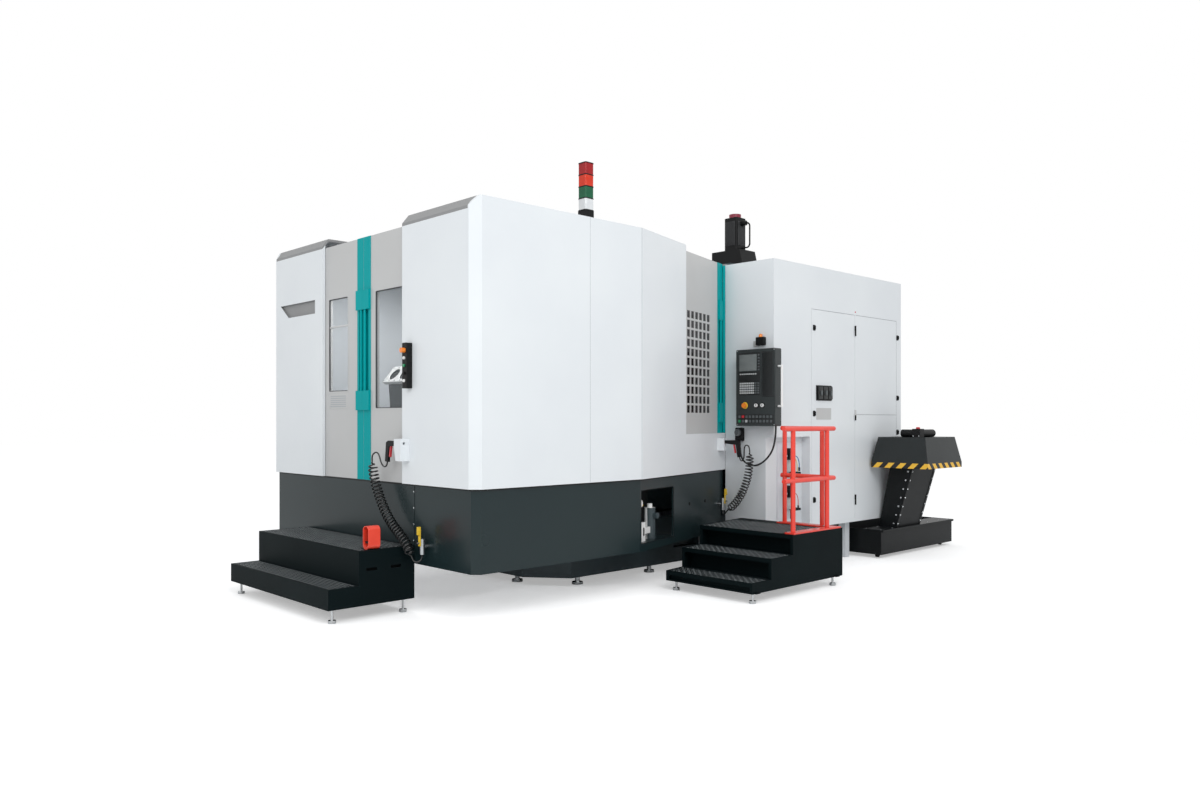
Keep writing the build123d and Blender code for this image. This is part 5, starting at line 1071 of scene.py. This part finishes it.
@dataclass
class Cabinet:
    """Electrical cabinet with its service door, air units and lubricator."""

    latch_door: tuple = ((545.0, 2680.0), (545.0, 1717.0), (545.0, 747.0))
    latch_back: tuple = ((2420.0, 2680.0), (2420.0, 1920.0), (2420.0, 1490.0))
    latch_tool: tuple = ((-520.0, -2200.0), (2680.0, 1700.0, 760.0))
    joint_tool: tuple = (460.0, 1390.0, 2260.0)
    joint_level: float = 2890.0
    groove: tuple = (12.0, 1425.0)  # depth of the joint beside the door, and where it starts
    breaker_y: tuple = (590.0, 890.0)
    breaker_z: tuple = (1870.0, 2030.0)
    breaker_out: float = 16.0
    plate_z: tuple = (1650.0, 1780.0)
    lock: tuple = (1416.0, 2925.0)
    air_heads: tuple = (1210.0, 800.0)
    air_front: float = 72.0
    air_across: tuple = (10.5, 52.0, 60.0)  # back sheet, middle of the heads and plane of the lines
    air_clamps: tuple = (1060.0, 662.0)
    clamp_out: float = -230.0
    gauge_up: float = 42.0
    knob: tuple = (-40.0, -90.0)  # of a regulator: height from the head, and stand-off
    bowl_y: tuple = (98.0, 162.0)
    bowl_z: tuple = (-131.0, -1.0)
    air_lines: tuple = (  # finish, start, bend and end in their plane, and radius
        (BLUE, (200.0, 1250.0), (330.0, 1260.0), (320.0, 1120.0), 5.0),
        (YELLOW, (200.0, 1232.0), (290.0, 1230.0), (284.0, 1060.0), 4.0),
        (RED, (200.0, 840.0), (310.0, 850.0), (300.0, 700.0), 4.0),
        (BLUE, (172.0, 1150.0), (250.0, 1010.0), (172.0, 880.0), 5.0),
    )
    plug_length: float = 40.0  # of the socket that an air line ends in
    lube_opening: tuple = (22.0, 728.0, 482.0, 988.0)
    pump: tuple = (-1810.0, 785.0)  # start and top of the pump body beside the tank
    liner_out: tuple = (-330.0, -36.0)  # back of the opening, and the seal round its front
    dial: tuple = (165.0, 850.0)
    sight: tuple = (190.0, 580.0, -90.0)  # slot that shows the level: across, up and out
    filler: tuple = (235.0, 830.0, -150.0)
    stem_foot: float = 660.0
    cap: tuple = (105.0, -150.0, 670.0)  # across, out and up

    @staticmethod
    def latch(face: Face, u: float, v: float) -> list[Shape]:
        """Quarter-turn latch: a rounded plate with a winged turn."""
        return [
            face.put(plate(46, 64, 5, 8, 2), u, v),
            face.put(turned([(17, 0), (17, 9), (14, 11)], 20), u, v, 5),
            face.put(plate(12, 44, 9, 4, 3), u, v, 14),
        ]

    def build(self) -> None:
        """Dress the cabinet and its fittings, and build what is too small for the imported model."""
        proud = above(CABINET_X + 0.5)
        depth, start = self.groove
        groove = Zone(x=(CABINET_X - depth, CABINET_X - 0.5), y=above(start))
        dress("cabinet_body", WHITE_COAT, (groove, SEAM_SHADE), (Zone(x=proud), BLACK_MOULDING))
        label = Zone(x=proud, z=(self.plate_z[0] - 1, self.plate_z[1] + 1))
        dress("cabinet_door", WHITE_COAT, (Zone(x=proud), BLACK_MOULDING), (label, GREY_COAT))
        self.build_latches()
        self.build_air()
        self.build_lube()

    def build_latches(self) -> None:
        """Fit the latches, the breakers and the lock, and draw the joints of the tool side."""
        piece = Piece("service_latches")
        for u, v in self.latch_door:
            piece.add(BLACK_MOULDING, *self.latch(CABINET_SIDE, u, v))
        middle, out = sum(self.breaker_z) / 2, self.breaker_out
        places = list(product(np.linspace(*self.breaker_y, 7)[1::2], [middle]))
        piece.add(PLATE_DARK, *CABINET_SIDE.spread(plate(84, 140, 14, 5, 3), places, out))
        piece.add(KEY_DARK, *CABINET_SIDE.spread(plate(26, 56, 16, 5, 4), places, out + 14))
        piece.add(SEAL_RUBBER, CABINET_SIDE.put(border(314, 174, 8, 3, 6), sum(self.breaker_y) / 2, middle))
        piece.build(Body.SERVICE_DOOR, "black_plastic")
        piece = Piece("cabinet_latches")
        for u, v in self.latch_back:
            piece.add(BLACK_MOULDING, *self.latch(CABINET_SIDE, u, v))
        for u, v in product(*self.latch_tool):
            piece.add(BLACK_MOULDING, *self.latch(TOOL_SIDE, u, v))
        low, high = PANEL_JOINTS
        level, first, last = self.joint_level, self.joint_tool[0], self.joint_tool[-1]
        piece.add(SEAM_SHADE, *[seam(TOOL_SIDE, (-y, low), (-y, high)) for y in self.joint_tool])
        piece.add(SEAM_SHADE, seam(TOOL_SIDE, (-last, level), (-first, level)))
        piece.add(RED, CABINET_SIDE.put(turned(dome(9, 7), 16), *self.lock))
        piece.build(Body.MACHINE, "black_plastic")

    def build_air(self) -> None:
        """Dress the air units, and give them dials and coloured lines."""
        sheet, middle, side = box_of("air_units")[0][0] + np.array(self.air_across)
        foot, brim = self.bowl_z
        bowls = [(Zone(above(sheet), self.bowl_y, (z + foot, z + brim)), MILKY) for z in self.air_heads]
        dress("air_units", BLACK_MOULDING, (Zone(x=below(sheet)), BAY_COAT), *bowls)
        piece = Piece("air_lines")
        front = Face((0, self.air_front, 0), (1, 0, 0))
        lift, out = self.knob
        for z in self.air_heads:
            gauge = z + self.gauge_up
            piece.add(BRIGHT_STEEL, front.put(border(54, 54, 4, 3, 27), middle, gauge))
            piece.add(WHITE_MOULDING, front.put(turned([(23, 0), (23, 1.2), (22, 1.5)], 24), middle, gauge))
            piece.add(DARK_MARK_AND_SHADE, front.put(plate(2.4, 18, 0.8, 1, 0.3), middle, gauge + 4, 1.5, 35))
            piece.add(YELLOW, front.put(turned([(27, 0), (27, 16), (24, 19)], 24), middle, z + lift, out))
        for finish, start, bend, (y, z), radius in self.air_lines:
            piece.add(finish, tube(arc_through((side, *start), (side, *bend), (side, y, z)), radius))
            socket = np.array([(side, y, z), (side, y, z - self.plug_length)])
            piece.add(BLACK_MOULDING, tube(socket, radius * 2.2, 8))
        clamps = product([middle], self.air_clamps)
        piece.add(BLACK_MOULDING, *front.spread(plate(84, 26, 100, 6, 3), clamps, self.clamp_out))
        piece.build(Body.MACHINE, "black_plastic")

    def build_lube(self) -> None:
        """Line the opening of the skirt, and give the lubricator its dial, caps and slot."""
        start, top = self.pump
        dress("lube_unit", WHITE_MOULDING, (Zone(y=above(start), z=below(top)), CASTING))
        u0, u1, v0, v1 = self.lube_opening
        middle = ((u0 + u1) / 2, (v0 + v1) / 2)
        back, rim = self.liner_out
        piece = Piece("lube_opening_liner")
        piece.add(LINER_COAT, FOLD.put(plate(u1 - u0, v1 - v0, 6, 4, 1), *middle, back))
        piece.add(SEAL_RUBBER, FOLD.put(border(u1 - u0, v1 - v0, 8, 6, 6), *middle, rim))
        piece.build(Body.MACHINE, "dark_paint")
        u, v = self.dial
        piece = Piece("lubricator_fittings")
        piece.add(DARK_MARK_AND_SHADE, FOLD.put(plate(26, 84, 2, 12, 1), *self.sight))
        piece.add(BRIGHT_STEEL, FOLD.put(turned([(40, 0), (40, 22), (36, 24)], 28), u, v, -130))
        piece.add(WHITE_MOULDING, FOLD.put(turned([(34, 0), (34, 1.5)], 28), u, v, -106))
        piece.add(DARK_MARK_AND_SHADE, FOLD.put(plate(3, 26, 1, 1, 0.3), u, v + 8, -104.5, -40))
        piece.add(STEEL, self.upright(u, -140, self.stem_foot, [(9, 0), (9, 165)], 14))
        piece.add(WHITE_MOULDING, self.upright(*self.cap, [(26, 0), (26, 60), (22, 66)], 20))
        piece.add(YELLOW, FOLD.put(turned([(13, 0), (13, 22), (10, 26)], 16), *self.filler))
        piece.build(Body.MACHINE, "white_plastic")

    @staticmethod
    def upright(u: float, out: float, foot: float, profile: Sequence, sides: int) -> Shape:
        """Turned piece that stands upright at a place across and out of the fold."""
        across = np.array(FOLD.across)
        x, y, _ = np.array(FOLD.origin) + u * across + out * np.cross(across, FOLD.up)
        return Face((x, y, foot), (1, 0, 0), (0, 1, 0)).put(turned(profile, sides))


@dataclass
class ControlPanel:
    """Operator's panel with its screen, keys and buttons, and the hand wheel below it."""

    front: float = -370.0
    knob_top: float = 2000.0
    handle_x: float = 2041.0
    recess: tuple = (1560.0, 2060.0, 1850.0, 2365.0)
    recess_depth: float = 5.0
    screen: tuple = (1688.0, 2258.0)
    pocket: tuple = (1944.0, 2128.0)
    knob_z: float = 1800.0
    stop_x: float = 1650.0
    knob_x: tuple = (1800.0, 1880.0)
    screws: tuple = ((1544.0, 2026.0), (1594.0, 2386.0))
    plates: tuple = (  # width, height, and middle across and up
        (280.0, 150.0, 1706.0, 1985.0),
        (150.0, 480.0, 1944.0, 2128.0),
        (470.0, 96.0, 1785.0, 1656.0),
    )
    hanger: tuple = (1688.0, 2470.0)
    beacon: tuple = (1762.0, 2448.0, 2536.0)  # middle, foot and top of the beacon's foot
    dial: tuple = (1482.0, 1508.0)
    dial_marks: int = 20
    dial_reach: float = 33.0

    def build(self) -> None:
        """Dress the panel and the hand wheel, and fit what is on them."""
        knobs = Zone(y=below(self.front - 0.5), z=below(self.knob_top))
        handle = Zone(x=above(self.handle_x))
        dress("control_panel", SLATE, (knobs, WHITE_MOULDING), (handle, WHITE_MOULDING))
        dress("panel_stop", ORANGE)
        dress("wheel_box", BLACK_MOULDING)
        dress("wheel_dial", KEY_DARK)
        face = Face((0, self.front, 0), (1, 0, 0))
        piece = Piece("panel_front")
        self.add_plates(piece, face)
        self.add_keys(piece, face)
        self.add_knobs(piece, face)
        piece.add(GREY_COAT, CABINET_FRONT.put(plate(65, 60, 12, 4, 2), *self.hanger))
        piece.build(Body.MACHINE, "slate_panel")
        self.build_beacon()
        self.build_marks()

    def add_plates(self, piece: Piece, face: Face) -> None:
        """Add the recessed plate, the screen in its frame, and the plates under the keys."""
        left, low, right, high = self.recess
        middle = ((left + right) / 2, (low + high) / 2)
        piece.add(PLATE_DARK, face.put(plate(right - left - 4, high - low - 4, 4, 3, 1), *middle, -self.recess_depth))
        piece.add(SCREEN, face.put(plate(232, 176, 2, 4, 1), *self.screen, -1))
        piece.add(SLATE, face.put(border(248, 192, 8, 4, 6), *self.screen, -1))
        for width, height, x, z in self.plates:
            piece.add(PLATE_DARK, face.put(plate(width, height, 2, 5, 1), x, z))
        piece.add(SLATE, face.put(border(134, 464, 4, 2, 5), *self.pocket, 2))

    @staticmethod
    def add_keys(piece: Piece, face: Face) -> None:
        """Add the key caps in their rows and columns, with three coloured ones."""
        rows, low_rows = np.linspace(1934, 2036, 5), (1632.0, 1680.0)
        blocks = (  # finish, columns, levels, size of a cap, and stand-off
            (KEY_GREY, np.linspace(1588, 1788, 9), (2136.0,), (18, 14, 3), -1),
            (KEY_DARK, (1828.0,), np.linspace(2180, 2335, 6), (22, 16, 3), -1),
            (KEY_GREY, np.linspace(1590, 1760, 8), rows, (18, 18, 4), 2),
            (KEY_DARK, (1790.0, 1826.0), rows, (24, 18, 4), 2),
            (KEY_DARK, np.linspace(1580, 1990, 10), low_rows, (28, 28, 6), 2),
            (RED, (1625.6,), (1680.0,), (28, 28, 8), 2),
            (GREEN, (1580.0,), (1632.0,), (28, 28, 8), 2),
            (KEY_GREY, (1671.1,), (1632.0,), (28, 28, 8), 2),
        )
        for finish, columns, levels, size, out in blocks:
            piece.add(finish, *face.spread(plate(*size, 2.5, 1.5), product(columns, levels), out))

    def add_knobs(self, piece: Piece, face: Face) -> None:
        """Add the collars of the stop and the knobs, the knobs' pointers and the corner screws."""
        z = self.knob_z
        piece.add(YELLOW, face.put(turned([(36, 0), (36, 3), (32, 4)], 28), self.stop_x, z))
        for x in self.knob_x:
            piece.add(BLACK_MOULDING, face.put(turned([(30, 0), (30, 2), (27, 3)], 28), x, z))
            piece.add(DARK_MARK_AND_SHADE, face.put(plate(5, 30, 3, 2, 1), x, z + 2, 15.5, -25))
        piece.add(STEEL, *face.spread(turned([(6, 0), (6, 1.5), (4.5, 3)], 12), product(*self.screws)))

    def build_beacon(self) -> None:
        """Fit a small amber beacon on its dark foot, on the cabinet above the panel."""
        x, low, high = self.beacon
        piece = Piece("panel_beacon")
        piece.add(BLACK_MOULDING, CABINET_FRONT.put(plate(105, high - low, 46, 8, 4), x, (low + high) / 2))
        crown = turned([(21, 0), (21, 16)] + [(r, z + 16) for r, z in dome(21, 20)], 20)
        piece.add(ORANGE, Face((x, CABINET_Y - 24, 0), (1, 0, 0), (0, 1, 0)).put(crown, out=high))
        piece.build(Body.MACHINE, "black_plastic")

    def build_marks(self) -> None:
        """Print the marks round the hand wheel's dial."""
        piece = Piece("dial_marks")
        face = Face((0, box_of("wheel_dial")[0][1], 0), (1, 0, 0))
        (x, z), reach = self.dial, self.dial_reach
        mark = plate(1.6, 5, 0.5, 0.6, 0.2)
        for a in np.linspace(0, 2 * math.pi, self.dial_marks, endpoint=False):
            place = (x + reach * math.cos(a), z + reach * math.sin(a))
            piece.add(WHITE_MOULDING, face.put(mark, *place, 0, math.degrees(a) - 90))
        piece.build(Body.DIAL, "black_plastic")


@dataclass
class Conveyor:
    """Coolant tank and chip conveyor."""

    roller_top: float = 45.0
    band_top: float = 1137.0
    riser_foot: tuple = (2140.0, 340.0)
    riser_head: tuple = (2356.0, 1075.0)
    riser_y: tuple = (1960.0, 2570.0)
    flange: float = 26.0
    drive: tuple = (2420.0, 1830.0, 1540.0)
    drive_box: float = 100.0
    rim_bolts: tuple = ((1930.0, 2125.0), (1640.0, 1900.0, 2800.0, 3100.0, 3380.0))

    def build(self) -> None:
        """Dress the conveyor, and bolt its seams."""
        dress("coolant_tank", CONVEYOR_COAT, (Zone(z=below(self.roller_top)), BLACK_MOULDING))
        dress("conveyor_riser", CONVEYOR_COAT)
        tape = Zone(z=below(self.band_top), rise=near(0.0, 0.3))
        dress("conveyor_hood", HOOD_COAT, (tape, HAZARD))
        dress("conveyor_drive", BLACK_MOULDING)
        (x0, z0), (x1, z1) = self.riser_foot, self.riser_head
        length = math.hypot(x1 - x0, z1 - z0)
        slope = Face((x0, 0, z0), (0, 1, 0), ((x1 - x0) / length, 0, (z1 - z0) / length))
        flanges = (self.riser_y[0] + self.flange, self.riser_y[1] - self.flange)
        rows = np.linspace(50, length - 50, 7)
        piece = Piece("conveyor_seams")
        piece.add(BRIGHT_STEEL, *slope.spread(bolt(7, 6), product(flanges, rows), 4))
        piece.add(CONVEYOR_COAT, *slope.spread(plate(44, length - 12, 4, 3, 1), product(flanges, [length / 2])))
        front = Face((0, self.riser_y[0], 0), (1, 0, 0))
        line = [(x0 + s * (x1 - x0) - 40, z0 + s * (z1 - z0)) for s in rows / length]
        piece.add(BRIGHT_STEEL, *front.spread(bolt(7, 6), line))
        x, y, top = self.drive
        half = self.drive_box / 2
        lid = Face((0, 0, top), (1, 0, 0), (0, 1, 0))
        piece.add(RED, lid.put(turned([(24, 0), (24, 14), (18, 20)], 20), x + half, y + half))
        side = Face((0, y, 0), (1, 0, 0))
        piece.add(STEEL, *side.spread(bolt(5, 4), product(near(x + half, 35), [top - 85])))
        rim = Face((0, 0, box_of("coolant_tank")[1][2]), (1, 0, 0), (0, 1, 0))
        piece.add(STEEL, *rim.spread(bolt(7, 6), product(*self.rim_bolts)))
        piece.build(Body.MACHINE, "conveyor_paint")


@dataclass
class RoofFittings:
    """Signal tower and the drive on top of the column."""

    lamp_low: float = 3510.0
    lamp_height: float = 105.0
    tower: tuple = (1700.0, -2750.0)
    ring_side: float = 106.0
    motor_half: float = 104.0
    motor_y: float = 1580.0
    motor_low: float = 3911.0
    motor_top: float = 4356.0
    screw_top: float = 3590.0
    fins: int = 9
    fin_reach: float = 72.0

    def build(self) -> None:
        """Dress the lamps by their height and the motor with its red cap, and fit rings and fins."""
        pitch = self.lamp_height
        rules = []
        for place, lens in enumerate((LENS_CLEAR, LENS_GREEN, LENS_AMBER, LENS_RED)):
            rules.append((Zone(z=near(self.lamp_low + (place + 0.5) * pitch, pitch / 2)), lens))
        dress("tower_lamps", LENS_CLEAR, *rules)
        dress("tower_base", BLACK_MOULDING)
        piece = Piece("tower_rings")
        column = Face((*self.tower, 0), (1, 0, 0), (0, 1, 0))
        ring = plate(self.ring_side, self.ring_side, 9, 16, 2)
        for place in range(len(rules) + 1):
            piece.add(BLACK_MOULDING, column.put(ring, out=self.lamp_low + place * pitch - 5))
        piece.build(Body.MACHINE, "black_plastic")
        cap, screw = Zone(z=above(self.motor_top + 0.5)), Zone(z=below(self.screw_top))
        dress("y_drive", BLACK_MOULDING, (cap, CAP_RED), (screw, STEEL))
        piece = Piece("motor_fins")
        fin = plate(8, self.motor_top - self.motor_low - 120, 7, 2, 1.5)
        middle = (self.motor_low + self.motor_top) / 2 + 10
        places = list(product(np.linspace(-self.fin_reach, self.fin_reach, self.fins), [middle]))
        for out_x, out_y in ((0, -1), (1, 0), (0, 1), (-1, 0)):
            origin = (out_x * self.motor_half, self.motor_y + out_y * self.motor_half, 0)
            piece.add(MOTOR_GREY, *Face(origin, (-out_y, out_x, 0)).spread(fin, places))
        piece.build(Body.COLUMN, "black_plastic")


@dataclass
class Back:
    """Louvre hoods and panel joints on the rear of the machine."""

    louvre_x: tuple = (-600.0, 600.0)
    louvre_half: float = 250.0
    louvre_low: float = 2514.0
    louvre_pitch: float = 60.0
    louvre_rows: int = 6
    joints: tuple = (-1150.0, 0.0, 1150.0)

    def build(self) -> None:
        """Press a hood over each louvre slot, and draw the panel joints of the rear cover."""
        piece = Piece("rear_louvres")
        wide, narrow = self.louvre_half + 12, self.louvre_half - 6
        foot = [(-wide, -8, 0), (wide, -8, 0), (narrow, 26, 0), (-narrow, 26, 0)]
        crown = [(8 - wide, -8, 18), (wide - 8, -8, 18), (narrow, 26, 1), (-narrow, 26, 1)]
        rows = self.louvre_low + np.arange(self.louvre_rows) * self.louvre_pitch
        piece.add(WHITE_COAT, *BACK.spread(skin(np.array([foot, crown], float)), product(self.louvre_x, rows)))
        low, high = PANEL_JOINTS
        piece.add(SEAM_SHADE, *[seam(BACK, (x, low), (x, high)) for x in self.joints])
        piece.build(Body.MACHINE, "white_paint")


@dataclass
class Stage:
    """White studio round the machine, with its lamps and camera. Lengths are in metres."""

    ambient: float = 0.7
    floor_lift: float = 0.38  # light of its own that the camera sees on the floor
    floor_half: float = 60.0
    lamps: tuple = (
        ("key", (11.0, -6.5, 9.0), (0.6, -1.5, 1.6), 6.0, 610.0),
        ("fill", (2.5, -11.5, 6.5), (0.8, -3.0, 1.6), 6.0, 165.0),
        ("bay", (0.0, -3.35, 3.32), (0.0, -3.3, 1.2), 0.9, 24.0),
    )
    eye: tuple = (7.711, -8.341, 1.65)
    heading: float = 46.2
    lens: float = 27.63
    sensor: float = 36.0
    rise: float = 0.01625

    def build(self) -> None:
        """Set up world, floor, lamps and camera."""
        scene = bpy.context.scene
        scene.view_settings.view_transform = "Standard"
        self.build_world(scene)
        self.build_floor()
        for lamp in self.lamps:
            self.build_lamp(*lamp)
        data = bpy.data.cameras.new("camera")
        data.lens = self.lens
        data.sensor_width = self.sensor
        data.shift_y = self.rise
        camera = bpy.data.objects.new("camera", data)
        camera.location = self.eye
        camera.rotation_euler = (math.pi / 2, 0, math.radians(self.heading))
        scene.collection.objects.link(camera)
        scene.camera = camera

    def build_world(self, scene: bpy.types.Scene) -> None:
        """White where the camera, a mirror or glass sees it, and softer as a source of light."""
        world = bpy.data.worlds.new("studio")
        world.use_nodes = True
        tree = world.node_tree
        tree.nodes.clear()
        rays = add_node(tree, "ShaderNodeLightPath").outputs
        seen = rays["Is Camera Ray"]
        for kind in ("Is Glossy Ray", "Is Transmission Ray"):
            seen = add_node(tree, "ShaderNodeMath", {0: seen, 1: rays[kind]}, operation="MAXIMUM").outputs[0]
        white = linear("#FFFFFF")
        soft = add_node(tree, "ShaderNodeBackground", {"Color": white, "Strength": self.ambient})
        plain = add_node(tree, "ShaderNodeBackground", {"Color": white, "Strength": 1.0})
        mixed = add_node(tree, "ShaderNodeMixShader", {0: seen, 1: soft.outputs[0], 2: plain.outputs[0]})
        add_node(tree, "ShaderNodeOutputWorld", {"Surface": mixed.outputs[0]})
        scene.world = world

    def build_floor(self) -> None:
        """White floor that keeps the shadow and fades into the background."""
        material = bpy.data.materials.new("studio_floor")
        material.use_nodes = True
        tree = material.node_tree
        tree.nodes.clear()
        seen = add_node(tree, "ShaderNodeLightPath").outputs["Is Camera Ray"]
        lit = add_node(tree, "ShaderNodeBsdfDiffuse", {"Color": linear("#F2F3F4")})
        lift = add_node(tree, "ShaderNodeMath", {0: seen, 1: self.floor_lift}, operation="MULTIPLY")
        glow = add_node(tree, "ShaderNodeEmission", {"Color": linear("#FFFFFF"), "Strength": lift.outputs[0]})
        both = add_node(tree, "ShaderNodeAddShader", {0: lit.outputs[0], 1: glow.outputs[0]})
        add_node(tree, "ShaderNodeOutputMaterial", {"Surface": both.outputs[0]})
        mesh = bpy.data.meshes.new("studio_floor")
        half = self.floor_half
        corners = [(-half, -half, 0), (half, -half, 0), (half, half, 0), (-half, half, 0)]
        mesh.from_pydata(corners, [], [(0, 1, 2, 3)])
        mesh.materials.append(material)
        floor = bpy.data.objects.new("studio_floor", mesh)
        bpy.context.scene.collection.objects.link(floor)

    @staticmethod
    def build_lamp(name: str, place: tuple, aim: tuple, size: float, power: float) -> None:
        """Hang a square soft lamp that faces a point.

        Args:
            name: of the lamp.
            place, aim: where it hangs and what it faces.
            size: its side.
            power: in watts.
        """
        data = bpy.data.lights.new(name, "AREA")
        data.size = size
        data.energy = power
        made = bpy.data.objects.new(name, data)
        made.visible_camera = False
        made.location = place
        x, y, z = np.array(place) - np.array(aim)
        made.rotation_euler = (math.atan2(math.hypot(x, y), z), 0, math.atan2(x, -y))
        bpy.context.scene.collection.objects.link(made)


FRONT_HOSE = CoiledHose(
    "front_hose",
    ((1115, -4078, 520), (1115, -4078, 470), (1085, -4135, 450)),
    (
        (1040, -4135, 500), (960, -4135, 606), (852, -4135, 674), (707, -4135, 764),
        (600, -4135, 870), (505, -4135, 1000), (430, -4135, 1140), (395, -4135, 1280),
    ),
    ((400, -4135, 1345), (470, -4115, 1370), (505, -4102, 1240), (593.9, -4102, 1232.5), (601, -4102, 1281.8)),
)
SIDE_HOSE = CoiledHose(
    "side_hose",
    ((1326.99, -343.95, 655), (1326.99, -343.95, 600), (1390, -400, 610)),
    (
        (1435, -400, 665), (1520, -400, 720), (1600, -400, 810), (1665, -400, 920),
        (1715, -400, 1050), (1735, -400, 1190), (1735, -400, 1300),
    ),
    (
        (1725, -400, 1375), (1640, -375, 1375), (1620, -345, 1215),
        (1555.2, -330.5, 1192.5), (1548.4, -332.5, 1241.8),
    ),
)
WHEEL_CABLE = (
    (2010, -316, 1580), (2010, -316, 1440), (1930, -300, 1264), (1750, -300, 1140),
    (1580, -300, 1180), (1482, -244, 1290), (1482, -244, 1415),
)
CABLE_RADIUS = 10.0


def main() -> None:
    """Set up the stage, lay the cords, and dress and fit out the machine."""
    logging.basicConfig(level=logging.INFO)
    Stage().build()
    FRONT_HOSE.build()
    SIDE_HOSE.build()
    lay_cord("wheel_cable", WHEEL_CABLE, CABLE_RADIUS, CABLE_SKIN)
    assemblies = (
        Enclosure, LoadingBay, Workings, FrontFittings, Steps, Cabinet, ControlPanel, Conveyor, RoofFittings, Back
    )
    for assembly in assemblies:
        assembly().build()


if __name__ == "__main__":
    main()
